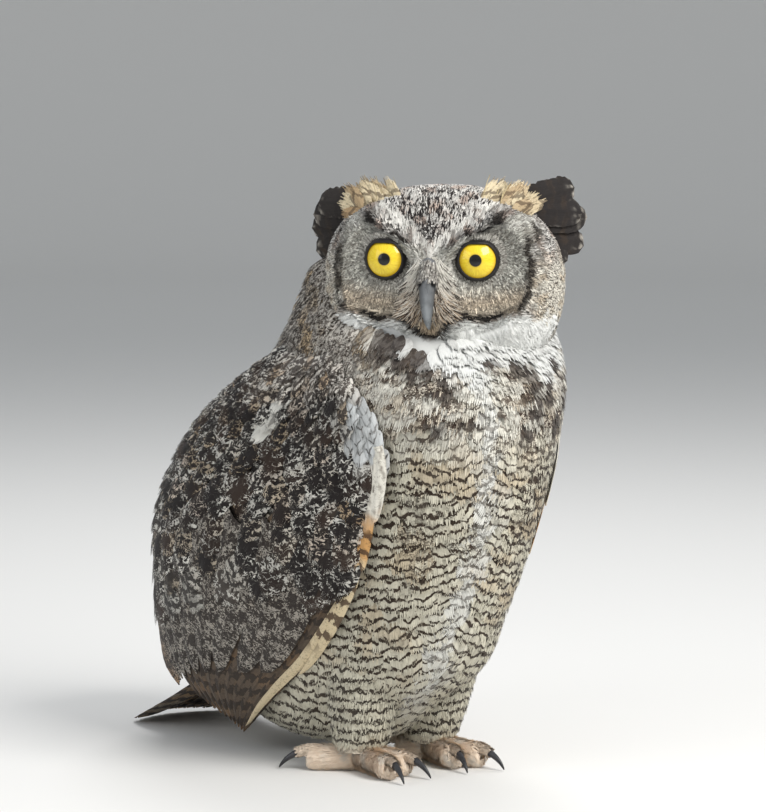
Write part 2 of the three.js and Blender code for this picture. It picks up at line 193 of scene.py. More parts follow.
def store(mesh, name, values):
    """Writes one value or colour per vertex into the mesh, for a material to read."""
    if values.ndim == 1:
        layer = mesh.attributes.new(name, "FLOAT", "POINT")
        layer.data.foreach_set("value", values.astype(np.float32))
    else:
        layer = mesh.attributes.new(name, "FLOAT_COLOR", "POINT")
        opaque = np.ones((len(values), 4), dtype=np.float32)
        opaque[:, :3] = values
        layer.data.foreach_set("color", opaque.ravel())


# %% Floor, backdrop and lights
STUDIO_COLOUR = (0.8, 0.79, 0.77)
FLAT_REACH, BEND_RADIUS, WALL_HEIGHT = 4.2, 1.0, 1.8
BREAST = np.array([0, -50, 220]) * MM


def studio_material():
    """A matt material of one colour."""
    made = bpy.data.materials.new("studio")
    made.use_nodes = True
    shader = made.node_tree.nodes["Principled BSDF"]
    shader.inputs["Base Color"].default_value = (*STUDIO_COLOUR, 1)
    shader.inputs["Roughness"].default_value = 0.9
    return made


def studio_bowl(columns=96):
    """Rings of a round floor that is flat, then bends up on a quarter circle into a low wall all round."""
    bend = np.linspace(0, np.pi / 2, 16)
    bent = FLAT_REACH + BEND_RADIUS * np.sin(bend)
    reach = np.concatenate([[0.001, 1.5, 3.0], bent, [FLAT_REACH + BEND_RADIUS]])
    height = np.concatenate([[0, 0, 0], BEND_RADIUS * (1 - np.cos(bend)), [WALL_HEIGHT]])
    turn = full_turn(columns)
    return vectors(reach[:, None] * np.cos(turn), reach[:, None] * np.sin(turn), height[:, None])


bowl = studio_bowl()
sweep_faces = grid_faces(*bowl.shape[:2], wrap=True)
sweep = mesh_object("studio_floor", bowl.reshape(-1, 3), sweep_faces, studio_material())


def panel(name, azimuth, elevation, distance, size, watts, colour=(1, 1, 1)):
    """A square light panel that faces the owl's breast from a direction given as for the camera."""
    lamp = bpy.data.objects.new(name, bpy.data.lights.new(name, "AREA"))
    lamp.data.size = size
    lamp.data.energy = watts
    lamp.data.color = colour
    look_from(BREAST + distance * direction_from(azimuth, elevation), BREAST, lamp)


panel("key_panel", 4, 40, distance=1.8, size=0.9, watts=34, colour=(1, 0.985, 0.96))
panel("fill_panel", -95, 20, distance=2.0, size=1.2, watts=9, colour=(0.95, 0.97, 1))
panel("rim_panel", 140, 50, distance=1.9, size=0.8, watts=14)
bpy.context.scene.view_settings.view_transform = "Standard"
world = bpy.data.worlds.new("studio_air")
world.use_nodes = True
air = world.node_tree.nodes["Background"].inputs
air["Color"].default_value = (0.9, 0.95, 1, 1)
air["Strength"].default_value = 0.42
bpy.context.scene.world = world

# %% [markdown]
# ## The forms the coat lies on
#
# Trunk, neck, wings and legs are stacks of level slices, each a rounded oval. A form can drop a point onto
# itself: the point keeps its height and slides straight in or out until it meets the slice's outline. That
# is all a feather needs to lie along the body however it bends. The head is a rounded box in a frame of its
# own, turned to the owl's right, and its face is pushed in round each eye and out along brows and cheeks.

# %% Slices of trunk, neck and wings
SECTION_POWER = 2.4

# [height, forward reach, backward reach, half width, shift to the left], all in mm
BODY_SLICES = [
    [12, 34, -46, 20, 0], [22, 66, -66, 36, 0], [34, 82, -80, 45, 0], [48, 98, -92, 53, 0],
    [64, 122, -102, 60, 0], [80, 136, -112, 66, 0], [100, 145, -126, 70, 0], [137, 163, -146, 77, 0],
    [178, 180, -141, 80, 0], [218, 193, -106, 81, 0], [250, 198, -60, 82, 0], [275, 188, -25, 82, 4],
    [300, 166, -5, 80, 8], [322, 142, 8, 71, 6], [338, 126, 22, 62, 0], [350, 112, 34, 52, -4]]
CLOAK_SLICES = [
    [10, 40, -118, 49, 0], [40, 100, -164, 60, 0], [60, 118, -170, 67, 0], [110, 152, -161, 87, 0],
    [164, 174, -150, 95, 0], [218, 190, -108, 95, 0], [261, 193, -50, 88, 0], [288, 180, -8, 76, 0]]


def smooth_rows(table, at):
    """Values between the rows of a table whose first column rises: a cubic through each row."""
    table = np.asarray(table, dtype=float)
    rows, values = table[:, 0], table[:, 1:]
    before = np.maximum(np.arange(len(rows)) - 1, 0)
    after = np.minimum(np.arange(len(rows)) + 1, len(rows) - 1)
    slopes = (values[after] - values[before]) / (rows[after] - rows[before])[:, None]
    at = np.clip(np.asarray(at, dtype=float), rows[0], rows[-1])
    low = np.clip(np.searchsorted(rows, at) - 1, 0, len(rows) - 2)
    span = (rows[low + 1] - rows[low])[..., None]
    t = (at - rows[low])[..., None] / span
    first, last = values[low], values[low + 1]
    bend = 3 * (last - first) - (2 * slopes[low] + slopes[low + 1]) * span
    twist = (slopes[low] + slopes[low + 1]) * span - 2 * (last - first)
    return first + t * (slopes[low] * span + t * (bend + t * twist))


def signed_power(x, power):
    """abs(x) ** power with the sign of x."""
    return np.sign(x) * np.abs(x) ** power


class Slices:
    """A form made of level slices: |x / half width| ** power + |y / reach| ** power = 1 in each."""

    def __init__(self, table, power=SECTION_POWER):
        self.power = power
        heights = np.arange(table[0][0], table[-1][0] + 0.25, 0.5)
        front, back, half, shift = smooth_rows(table, heights).T
        self.heights = heights * MM
        self.shape = np.stack([shift, -(front + back) / 2, half, (front - back) / 2]) * MM
        self.slopes = np.gradient(self.shape, self.heights, axis=1)

    def at(self, z):
        """Middle x, middle y, half width and reach of the slice at z, and how fast each changes with z."""
        z = np.clip(z, self.heights[0], self.heights[-1])
        return [np.interp(z, self.heights, row) for row in (*self.shape, *self.slopes)]

    def drop(self, p, lift=0):
        """Points p moved onto the form at their own height, then out by lift; and the normals there."""
        z = np.clip(p[..., 2], self.heights[0], self.heights[-1])
        x0, y0, a, b, dx0, dy0, da, db = self.at(z)
        n = self.power
        x, y = p[..., 0] - x0, p[..., 1] - y0
        ratio = np.maximum((np.abs(x / a) ** n + np.abs(y / b) ** n) ** (1 / n), 1e-6)
        x, y = x / ratio, y / ratio
        gx = signed_power(x / a, n - 1) / a
        gy = signed_power(y / b, n - 1) / b
        gz = -(gx * (dx0 + x * da / a) + gy * (dy0 + y * db / b))
        normal = unit(vectors(gx, gy, gz))
        return vectors(x0 + x, y0 + y, z) + normal * np.asarray(lift)[..., None], normal

    def point(self, angle, z):
        """The point at an angle in degrees, 0 straight ahead and 90 to the owl's left, at height z."""
        x0, y0, a, b = self.at(z)[:4]
        t = np.radians(angle)
        x = signed_power(np.sin(t), 2 / self.power) * a
        y = signed_power(np.cos(t), 2 / self.power) * b
        return vectors(x0 + x, y0 - y, z)

    def angle(self, p):
        """The angle of points p, in degrees, as point() counts it."""
        x0, y0, a, b = self.at(p[..., 2])[:4]
        x, y = (p[..., 0] - x0) / a, -(p[..., 1] - y0) / b
        root = self.power / 2
        return np.degrees(np.arctan2(signed_power(x, root), signed_power(y, root)))


body_form = Slices(BODY_SLICES)
cloak_form = Slices(CLOAK_SLICES)
print("breast", body_form.point(0, 0.218).round(3), "and back", body_form.point(180, 0.218).round(3))

# %% The head's form
HEAD_TURN = np.radians(49)
HEAD_MIDDLE = np.array([0, -116, 328]) * MM
HEAD_REACH = {"side": 78, "front": 50, "back": 70, "crown": 63, "chin": 64}
HEAD_POWER = 2.35
EYE_SIDE, EYE_UP, EYE_FORWARD, EYE_RADIUS = 28.5, 18, 35, 17.5
EYE_SPLAY = np.radians(9)
DISC_RADIUS = 35.5

head_axes = np.array([
    [np.cos(HEAD_TURN), -np.sin(HEAD_TURN), 0],
    [-np.sin(HEAD_TURN), -np.cos(HEAD_TURN), 0],
    [0, 0, 1]])


def from_head(local):
    """Points given as (side, forward, up) from the head's middle in mm, in the owl's frame in metres."""
    return HEAD_MIDDLE + (local * MM) @ head_axes


def to_head(p):
    """The reverse: metres in the owl's frame to (side, forward, up) in mm."""
    return ((p - HEAD_MIDDLE) @ head_axes.T) / MM


def brow_line(across):
    """Height of the brow's crest above the head's middle: it climbs from the bill to the ear tuft."""
    return 17 + 31 * np.clip(across / 44, 0, 1) ** 1.2


def frown_line(across):
    """Height of the face's lower edge: lowest under the bill, highest below the eyes, lower again outside."""
    return -31 + 11 * smooth(across, 0, 25) + 3 * smooth(across, 30, 55)


def rim_distance(across, up, middle=8, stretch=1.15):
    """How far outside the facial disc's rim, an upright oval round the eye, a point is, in mm."""
    return np.hypot(across - EYE_SIDE, (up - middle) / stretch) - DISC_RADIUS


def face_relief(side, up):
    """How far the face stands forward of a plain rounded box: brows, cheeks and rim out, dishes in."""
    across = np.abs(side)
    eye_distance = np.hypot(across - EYE_SIDE, up - EYE_UP)
    brow = 8 * bell(up - brow_line(across), 7) * smooth(across, 2, 14) * (1 - smooth(across, 44, 58))
    dish = -8 * bell(eye_distance, 17)
    bridge = 9 * bell(across, 13) * bell(up - 10, 20)
    cheek = 12 * bell(across - 11, 12) * bell(up + 15, 14)
    rim = 5 * bell(rim_distance(across, up), 7) * smooth(across, 34, 52)
    return brow + dish + bridge + cheek + rim


class Head:
    """The head's form: a rounded box whose front carries the relief of the face."""

    def surface(self, direction):
        """The point, in the head's frame, that a direction from its middle meets."""
        side, ahead, up = np.moveaxis(direction, -1, 0)
        reach = HEAD_REACH
        n = HEAD_POWER
        share = np.abs(side / reach["side"]) ** n
        share += np.abs(ahead / np.where(ahead > 0, reach["front"], reach["back"])) ** n
        share += np.abs(up / np.where(up > 0, reach["crown"], reach["chin"])) ** n
        p = direction * (share ** (-1 / n))[..., None]
        push = smooth(ahead, 0.12, 0.6) * face_relief(p[..., 0], p[..., 2])
        return p + push[..., None] * np.array([0, 1, 0])

    def drop(self, p, lift=0):
        """Points p moved onto the head and out along its normal by lift, in metres; and the normals."""
        direction = unit(to_head(p))
        one = unit(np.cross(direction, np.array([0.31, 0.2, 0.93])))
        two = np.cross(direction, one)
        here = self.surface(direction)
        step = 0.02
        along = self.surface(unit(direction + step * one)) - self.surface(unit(direction - step * one))
        over = self.surface(unit(direction + step * two)) - self.surface(unit(direction - step * two))
        normal = unit(np.cross(along, over))
        normal *= np.sign(np.sum(normal * direction, axis=-1, keepdims=True))
        lifted = here + normal * (np.asarray(lift) / MM)[..., None]
        return from_head(lifted), normal @ head_axes


head_form = Head()
print("crown at", from_head(head_form.surface(np.array([0.0, 0.0, 1.0]))).round(4))

# %% Legs and toes
LEG_SIDE, LEG_FORWARD = 30, 64
ANKLE_UP, LEG_TOP = 15, 92
TOE_RADIUS = 10
TOES = {"inner": (-14, 42), "middle": (11, 47), "outer": (132, 36), "hind": (192, 27)}    # degrees, length
SIDES = {"left": 1, "right": -1}


def leg_slices(sign):
    """The leg's slices: it widens from the ankle to the thigh, and leans forward as it rises."""
    rows = []
    for share in np.linspace(0, 1, 6):
        radius = 14.5 + 14 * share ** 0.75
        middle = LEG_FORWARD + 12 * share
        rows.append([ANKLE_UP + (LEG_TOP - ANKLE_UP) * share,
                     middle + 1.1 * radius, middle - 1.1 * radius, radius, sign * LEG_SIDE])
    return rows


leg_forms = {side: Slices(leg_slices(sign), 2.0) for side, sign in SIDES.items()}


class Rod:
    """A round rod with rounded ends between two points in mm, thinning by a share towards its end."""

    def __init__(self, start, end, radius, thin=0.1):
        self.start, self.end = np.array(start) * MM, np.array(end) * MM
        self.radius, self.thin = radius * MM, thin
        self.length = np.linalg.norm(self.end - self.start)
        self.axis = (self.end - self.start) / self.length

    def drop(self, p, lift=0):
        """Points p moved onto the rod and out by lift; and the normals."""
        along = np.clip((p - self.start) @ self.axis, 0, self.length)
        middle = self.start + along[..., None] * self.axis
        normal = unit(p - middle)
        radius = self.radius * (1 - self.thin * along / self.length)
        return middle + normal * (radius + lift)[..., None], normal


def toe_line(sign, degrees):
    """Where a toe starts on the floor under the ankle, in mm, and its level direction."""
    turn = np.radians(degrees)
    return np.array([sign * LEG_SIDE, -LEG_FORWARD, 0]), np.array([sign * np.sin(turn), -np.cos(turn), 0])


def toe_rod(sign, degrees, length):
    """The rod of one toe, from the ankle to the claw's root, resting on the floor."""
    ankle, aim = toe_line(sign, degrees)
    return Rod(ankle + [0, 0, 10], ankle + aim * (length - 8) + [0, 0, 8.4], TOE_RADIUS - 1, 0.04)


toe_forms = {(side, toe): toe_rod(sign, *TOES[toe]) for side, sign in SIDES.items() for toe in TOES}
print(len(toe_forms), "toes,", len(leg_forms), "legs")

# %% [markdown]
# ## What a feather is made of
#
# A body feather is a shaft with soft barbs that part into locks towards the rim. Hair particles would be
# lost when the owl is exported, and one leaf-shaped card would look like a scale. So each feather here is a
# comb of narrow, tapering locks that spread from the shaft, overlap, and end on a rounded, ragged rim. Its
# root sits in the skin and its tip rises to the outline, so feathers lie over each other like tiles.
#
# Every vertex knows how far along and across its feather it is. The colours are worked out once per feather
# and the bars once per vertex, from the place on the bird, so that the bars of neighbours meet.

# %% A comb of barb locks
chances = np.random.default_rng(7)


def comb(form, root, stroke, width, locks=7, rows=4, depth=6 * MM, lift=0.0, camber=0.0, ragged=0.07,
         rounding=0.25, opening=0.45, bend=0.0, facing=None):
    """
    Feathers whose middle lines run from root along stroke, dropped onto a form, or free and facing a way.
    Along each lock t goes from 0 to 1. The lock of rank k, from -1 to 1, ends at 1 - rounding * k * k of the
    length, and its middle lies k * width / 2 from the shaft once t has passed the opening. Above the form it
    stands at -depth * (1 - along) ** 1.3 + lift * along ** 2 + camber * (1 - across ** 2).
    """
    count = len(root)
    width, depth, lift, camber, bend = [
        per_feather(np.broadcast_to(np.asarray(value, dtype=float), (count,)))
        for value in (width, depth, lift, camber, bend)]
    length = per_feather(np.linalg.norm(stroke, axis=1))
    normal = form.drop(root)[1] if form else facing
    side = unit(np.cross(normal, stroke))
    t = np.linspace(0, 1, rows)
    rank = np.linspace(-1, 1, locks) if locks > 1 else np.zeros(1)
    reach = 1 - rounding * rank ** 2 + chances.uniform(-ragged, ragged, (count, locks))
    along = (t * reach[..., None])[..., None] * np.ones(2)
    spread = rank[:, None] * smooth(t, -0.1, opening) * (1 - 0.1 * t)
    half = 1.35 / locks * (0.5 + 0.5 * smooth(t, -0.1, opening)) * np.sqrt(1 - 0.9 * t ** 4)
    across = (spread[..., None] + half[:, None] * np.array([-1, 1]))[None] * np.ones((count, 1, 1, 1))
    loose = chances.uniform(-0.22, 0.22, (count, locks))[..., None, None] * MM * t[:, None]
    height = -depth * (1 - along) ** 1.3 + lift * along ** 2 + camber * (1 - across ** 2) + loose
    sideways = width / 2 * across + bend * length * along ** 2
    place = per_feather(root) + along[..., None] * per_feather(stroke)
    place = place + sideways[..., None] * per_feather(side)
    points = form.drop(place, height)[0] if form else place + height[..., None] * per_feather(unit(normal))
    return {"points": points, "along": along, "across": across, "root": root, "stroke": stroke}


def thin_out(points, spacing):
    """Which of many random points to keep so that one is left in each cube of side spacing."""
    cells = np.floor(points / spacing).astype(np.int64)
    key = (cells[:, 0] * 73856093) ^ (cells[:, 1] * 19349663) ^ (cells[:, 2] * 83492791)
    return np.unique(key, return_index=True)[1]


# %% [markdown]
# ## Markings
#
# A great horned owl is cream with fine dark bars below, mottled brown and grey above, with a white bib, dark
# blotches beneath it, a grey face with a black rim and white brows. One set of functions gives these from a
# point on the bird, and skin and coat both ask it. Each answer is a ground colour, an ink colour, how strong
# bars, mottling and the dark shaft streak are there, how thin the bars are (edge), and how much they crinkle.

# %% Colours
CREAM, WHITE, BIB = paint(212, 207, 188), paint(226, 226, 220), paint(230, 231, 228)
BUFF, TAWNY, TOE = paint(196, 165, 120), paint(186, 134, 76), paint(255, 236, 214)
GREY, PALE_GREY = paint(146, 140, 128), paint(178, 174, 165)
BARK, DARK, SOOT = paint(88, 74, 60), paint(52, 43, 37), paint(30, 27, 26)
PLAIN = {"bars": 0.0, "edge": 0.6, "mottle": 0.0, "streak": 0.0, "crinkle": 0.35}


def answer(p, ground, ink=DARK, **strengths):
    """A full set of markings at points p: two colours, and the strengths that differ from PLAIN."""
    shape = p.shape[:-1]
    marks = {key: np.broadcast_to(colour, shape + (3,)) for key, colour in (("ground", ground), ("ink", ink))}
    for key, value in {**PLAIN, **strengths}.items():
        marks[key] = np.broadcast_to(value, shape).astype(float)
    return marks


def blend_marks(first, second, share):
    """One set of markings turning into another where share goes from 0 to 1."""
    made = {}
    for key in first:
        weight = share[..., None] if first[key].ndim > share.ndim else share
        made[key] = first[key] * (1 - weight) + second[key] * weight
    return made


# %% Where the patches of the breast lie
# The breast feathers part along a line that wanders from the throat to between the legs: height, side in mm
PARTING = np.array([
    [30, 4], [60, -12], [82, -18], [124, -16], [151, -14], [192, -16], [232, -24], [264, -27], [290, -8]])

# The bib's lower edge: side, height in mm
BIB_EDGE = np.array([
    [-76, 302], [-58, 282], [-44, 271], [-26, 270], [-6, 284], [6, 276], [30, 268], [56, 276], [80, 292]])

# Dark blotches under the bib: side, height and size in mm
BLOTCHES = [
    (-74, 288, 8), (-64, 291, 8), (-60, 283, 8), (-55, 274, 7), (-47, 266, 7), (-36, 246, 6), (-55, 240, 5),
    (-13, 283, 4), (3, 276, 5), (13, 270, 7), (28, 262, 7), (15, 250, 7), (6, 236, 6), (42, 278, 5),
    (50, 262, 8), (62, 270, 5), (60, 248, 8), (72, 264, 7), (68, 230, 6), (36, 240, 6)]


def beside_parting(p):
    """How far points are to the left of the parting, in mm."""
    return p[..., 0] / MM - np.interp(p[..., 2] / MM, PARTING[:, 0], PARTING[:, 1])


# %% Breast, belly, back and neck
def breast_marks(p, off):
    """The belly's thin level bars on cream, and above it the chest, where pale and dark feathers mix."""
    z = p[..., 2] / MM
    ground = mix(CREAM, BUFF, 0.4 * dapple(p, 34, 1, 0.1, 0.9) * smooth(z, 40, 110))
    ground = mix(ground, WHITE, bell(off, 10) * smooth(z, 20, 60))
    shade = smooth(off, 18, 60)
    patch = dapple(p, 40, 9, 0.0, 0.8) * smooth(z, 90, 150)
    belly = answer(p, ground, paint(58, 47, 38), bars=1.0 - 0.4 * bell(off, 6),
                   edge=0.62 - 0.25 * shade - 0.2 * patch, streak=0.2, crinkle=0.3 + 0.5 * patch,
                   mottle=0.08 + 0.2 * shade * smooth(z, 60, 140) + 0.2 * patch)
    ground = mix(paint(222, 219, 208), paint(188, 170, 144), 0.5 * dapple(p, 19, 2, 0.1, 0.9))
    pale = answer(p, ground, paint(78, 66, 56), bars=0.6, edge=0.72, mottle=0.12, streak=0.25, crinkle=0.45)
    dark = answer(p, mix(ground, BUFF, 0.25), paint(66, 52, 44), bars=0.8, edge=0.2, mottle=0.3,
                  streak=0.3, crinkle=1.0)
    chest = blend_marks(pale, dark, dapple(p, 13, 41, 0.0, 0.45))
    return blend_marks(belly, chest, smooth(z + 9 * ripple(p, 25, 3), 212, 244) * (1 - bell(off, 11)))


def body_marks(p):
    """Markings of trunk and neck: the breast, then bib, blotches, neck, back and vent laid over it."""
    x, z = p[..., 0] / MM, p[..., 2] / MM
    turn = np.abs(body_form.angle(p))
    marks = breast_marks(p, np.abs(beside_parting(p)))
    bib_edge = np.interp(x, BIB_EDGE[:, 0], BIB_EDGE[:, 1]) + 5 * ripple(p, 16, 5)
    bib = answer(p, BIB, BARK, edge=0.9, mottle=0.02)
    marks = blend_marks(marks, bib, smooth(z, bib_edge - 5, bib_edge + 5))
    spots = np.max([bell(np.hypot(x - bx, (z - bz) * 0.8), size) for bx, bz, size in BLOTCHES], axis=0)
    blotch = answer(p, paint(74, 66, 61), paint(44, 38, 36), bars=0.7, edge=0.3, mottle=0.3,
                    streak=0.4, crinkle=0.5)
    marks = blend_marks(marks, blotch, 0.95 * smooth(spots + 0.4 * ripple(p, 7, 4), 0.25, 0.75))
    ground = mix(paint(204, 198, 188), paint(206, 182, 146), dapple(p, 26, 6, -0.2, 0.8))
    neck = answer(p, ground, paint(64, 54, 46), bars=0.7, edge=0.5, mottle=0.2, streak=0.3, crinkle=0.95)
    marks = blend_marks(marks, neck, smooth(turn, 60, 84) * smooth(z, 246, 268))
    upper = answer(p, ground, DARK, bars=0.8, edge=0.15, mottle=0.2, streak=0.35, crinkle=1.0)
    ground = mix(paint(184, 178, 166), paint(150, 124, 96), 0.5 * dapple(p, 36, 7, 0.2, 0.9))
    mantle = answer(p, ground, paint(46, 39, 35), bars=0.9, edge=0.0, mottle=0.2, streak=0.35, crinkle=1.0)
    behind = smooth(turn, 82, 118)
    marks = blend_marks(marks, mantle, behind * (1 - smooth(z, 262, 300)))
    marks = blend_marks(marks, upper, behind * smooth(z, 262, 300))
    vent = answer(p, CREAM, DARK, bars=0.9, edge=0.45, mottle=0.1, streak=0.1)
    return blend_marks(marks, vent, smooth(turn, 60, 110) * (1 - smooth(z, 60, 84)))


def leg_marks(p):
    """Markings of legs: like the belly, and buff at the ankle."""
    low = 1 - smooth(p[..., 2] / MM, 15, 27)
    ground = mix(CREAM, TOE, 0.6 * low)
    return answer(p, ground, DARK, bars=0.95 * (1 - low), edge=0.45, mottle=0.12, streak=0.2)


def toe_marks(p):
    """Markings of toes: warm buff, drifting to white."""
    return answer(p, mix(TOE, WHITE, 0.5 * dapple(p, 14, 8, 0, 1)), BARK, edge=0.9)


# %% Crown, nape and brows
def crown_marks(p, side, ahead, up):
    """The crown's small dark hearts, the nape's and cheeks' curls behind them, and the white brow."""
    across = np.abs(side)
    facing = smooth(ahead, 4, 22)
    ground = mix(paint(222, 219, 213), paint(190, 172, 160), dapple(p, 13, 11, 0.0, 0.9))
    middle = bell(np.hypot(side + 2, (up - 46) * 0.8), 15)
    fine = bell(np.hypot(side + 2, up - 32), 14)
    marks = answer(p, ground, paint(40, 35, 35), bars=1.0, edge=0.1 - 0.4 * middle, mottle=0.25, streak=0.1,
                   crinkle=0.42 + 0.5 * fine)
    ground = mix(PALE_GREY, BUFF, 0.5 * dapple(p, 24, 12, -0.2, 0.8))
    nape = answer(p, ground, DARK, bars=0.8, edge=0.15, mottle=0.2, streak=0.3, crinkle=1.0)
    marks = blend_marks(marks, nape, (1 - facing) * (1 - smooth(up, 8, 40)))
    ground = mix(paint(222, 217, 204), BUFF, 0.4 * dapple(p, 10, 17, 0.2, 0.8))
    pale_side = answer(p, ground, DARK, bars=0.9, edge=0.55, mottle=0.2, streak=0.15, crinkle=0.4)
    beside = smooth(across, 60, 68) * smooth(ahead, -34, -6) * (1 - smooth(up, 8, 28))
    marks = blend_marks(marks, pale_side, beside)
    brow = answer(p, paint(228, 226, 219), DARK, bars=0.3, edge=0.8, mottle=0.2, crinkle=0.5)
    stripe = facing * bell(up - 23.5 - 0.75 * across, 2.4) * (0.85 + 0.6 * ripple(p, 6, 15))
    return blend_marks(marks, brow, np.clip(stripe, 0, 1))


# %% Face
def disc_colour(p, across, up):
    """The disc's grey, warmer on the cheek, pale above the eye and buff along the frown."""
    cheek = smooth(-up + 0.1 * across, -2, 14) * smooth(across, 12, 24)
    colour = mix(paint(190, 189, 180), paint(196, 174, 146), 0.75 * cheek)
    colour = mix(colour, paint(214, 213, 206), 0.8 * bell(up - 31 - 0.2 * across, 4) * smooth(across, 8, 20))
    colour = mix(colour, paint(206, 196, 178), bell(up - frown_line(across) - 5, 5) * 0.7)
    return colour * (1 + 0.22 * ripple(p, 6, 18))[..., None]


def head_marks(p):
    """Markings of the head: the crown's, then disc, lore, rim, streak, bib and frown laid over them."""
    side, ahead, up = np.moveaxis(to_head(p), -1, 0)
    across = np.abs(side)
    facing = smooth(ahead, 4, 22)
    marks = crown_marks(p, side, ahead, up)
    above = up - 22 - 0.47 * across
    below = frown_line(across) - up
    edge = rim_distance(across, up, 12, 1.6)
    in_front = facing * smooth(-above, -2, 1) * smooth(-below, -3, 1)
    disc = answer(p, disc_colour(p, across, up), paint(86, 80, 74), bars=0.35, edge=0.75,
                  mottle=0.6, crinkle=0.3)
    marks = blend_marks(marks, disc, in_front * (1 - smooth(edge, -1, 3)))
    ground = mix(paint(224, 222, 216), paint(180, 162, 138), smooth(-up, -8, 18))
    lore = answer(p, ground, BARK, edge=0.8, mottle=0.15)
    marks = blend_marks(marks, lore, in_front * bell(across, 13) * smooth(-up, -28, -12))
    band = bell(edge - 1.5, 3.2) * smooth(across, 40, 54) * smooth(up, -24, -10)
    band = band * (0.6 + 0.7 * ripple(p, 9, 13)) * (1 - smooth(up, 36, 48))
    rim = answer(p, SOOT, GREY, bars=0.3, mottle=0.2)
    marks = blend_marks(marks, rim, facing * np.clip(1.6 * band, 0, 1))
    streak = bell(above - 1.2, 1.7) * smooth(across, 8, 15) * (1 - smooth(across, 38, 50))
    streak = streak * (0.75 + 0.6 * ripple(p, 7, 16))
    patch = bell(np.hypot(across - 44, up - 46), 5)
    marks = blend_marks(marks, answer(p, SOOT, SOOT), facing * np.clip(1.5 * np.maximum(streak, patch), 0, 1))
    bib = answer(p, BIB, BARK, edge=0.9, mottle=0.02)
    marks = blend_marks(marks, bib, smooth(below, 1, 4) * smooth(ahead, -10, 12))
    frown = bell(below + 0.5 - 1.5 * bell(across, 14), 2.0)
    frown = frown * (1 - smooth(across, 42, 56)) * smooth(ahead, 10, 25)
    frown = frown * (0.85 + 0.5 * ripple(p, 7, 14))
    return blend_marks(marks, answer(p, SOOT, PALE_GREY, edge=0.8, mottle=0.1), np.clip(1.8 * frown, 0, 1))


# %% Wings
# [height, angle of the folded wing's front edge, angle of its back edge]
WING_EDGES = [
    [10, 92, 112], [47, 76, 146], [70, 64.5, 166], [94, 56.5, 174], [117, 51, 175], [137, 47.5, 174],
    [191, 46.5, 166], [222, 49, 155], [245, 58, 143], [265, 72, 130], [288, 92, 112]]


def wing_angle(share, z):
    """The angle on the cloak at a share of the way from the wing's front edge to its back edge."""
    lead, trail = np.moveaxis(smooth_rows(WING_EDGES, z / MM), -1, 0)
    return lead + (trail - lead) * share


def wing_share(p):
    """The reverse: how far back from its front edge the wing is at points p, 0 to 1."""
    lead, trail = np.moveaxis(smooth_rows(WING_EDGES, p[..., 2] / MM), -1, 0)
    return (np.abs(cloak_form.angle(p)) - lead) / (trail - lead)


def wing_marks(p):
    """Markings of the coverts: curls on dark, low grey ones, shoulder, wrist scales, a white stripe."""
    share, z = wing_share(p), p[..., 2] / MM
    ground = mix(paint(222, 219, 210), paint(184, 166, 140), dapple(p, 23, 21, 0.1, 0.9))
    ground = mix(ground, TAWNY, 0.3 * dapple(p, 26, 22, 0.4, 0.95) * smooth(z, 100, 150))
    ink = mix(paint(35, 30, 29), paint(54, 42, 35), dapple(p, 30, 23, 0, 0.8))
    darker = smooth(ripple(p, 34, 24) + 0.7 * ripple(p, 11, 29), -0.4, 0.8)
    marks = answer(p, ground, ink, bars=0.95, edge=0.12 - 0.5 * darker, mottle=0.2, streak=0.35, crinkle=1.0)
    low = (1 - smooth(z + 6 * ripple(p, 20, 25), 112, 130)) * (1 - smooth(share, 0.35, 0.7))
    pale = answer(p, paint(172, 170, 162), paint(36, 31, 30), bars=0.9, edge=0.2, mottle=0.5,
                  streak=0.15, crinkle=0.62)
    marks = blend_marks(marks, pale, 0.85 * low)
    shoulder = smooth(z + 7 * ripple(p, 15, 27), 246, 262) * (1 - smooth(share, 0.5, 0.8))
    ground = mix(paint(222, 216, 206), paint(206, 180, 150), dapple(p, 17, 28, 0.0, 0.8))
    tan = answer(p, ground, paint(62, 52, 46), bars=0.9, edge=0.4, mottle=0.2, streak=0.3, crinkle=0.85)
    marks = blend_marks(marks, tan, 0.85 * shoulder)
    wrist = 1 - smooth(share + 0.0022 * np.abs(z - 232) + 0.03 * ripple(p, 12, 26), 0.11, 0.17)
    wrist = wrist * smooth(z, 200, 214) * (1 - smooth(z, 248, 262))
    scales = answer(p, paint(200, 203, 203), paint(66, 62, 60), bars=0.9, edge=0.75, mottle=0.05,
                    streak=0.35, crinkle=0.3)
    marks = blend_marks(marks, scales, wrist)
    stripe = bell(share - 0.405, 0.016) * smooth(z, 212, 218) * (1 - smooth(z, 244, 250))
    white = answer(p, paint(226, 224, 216), DARK, bars=0.3, edge=0.85)
    return blend_marks(marks, white, np.clip(1.4 * stripe, 0, 1))
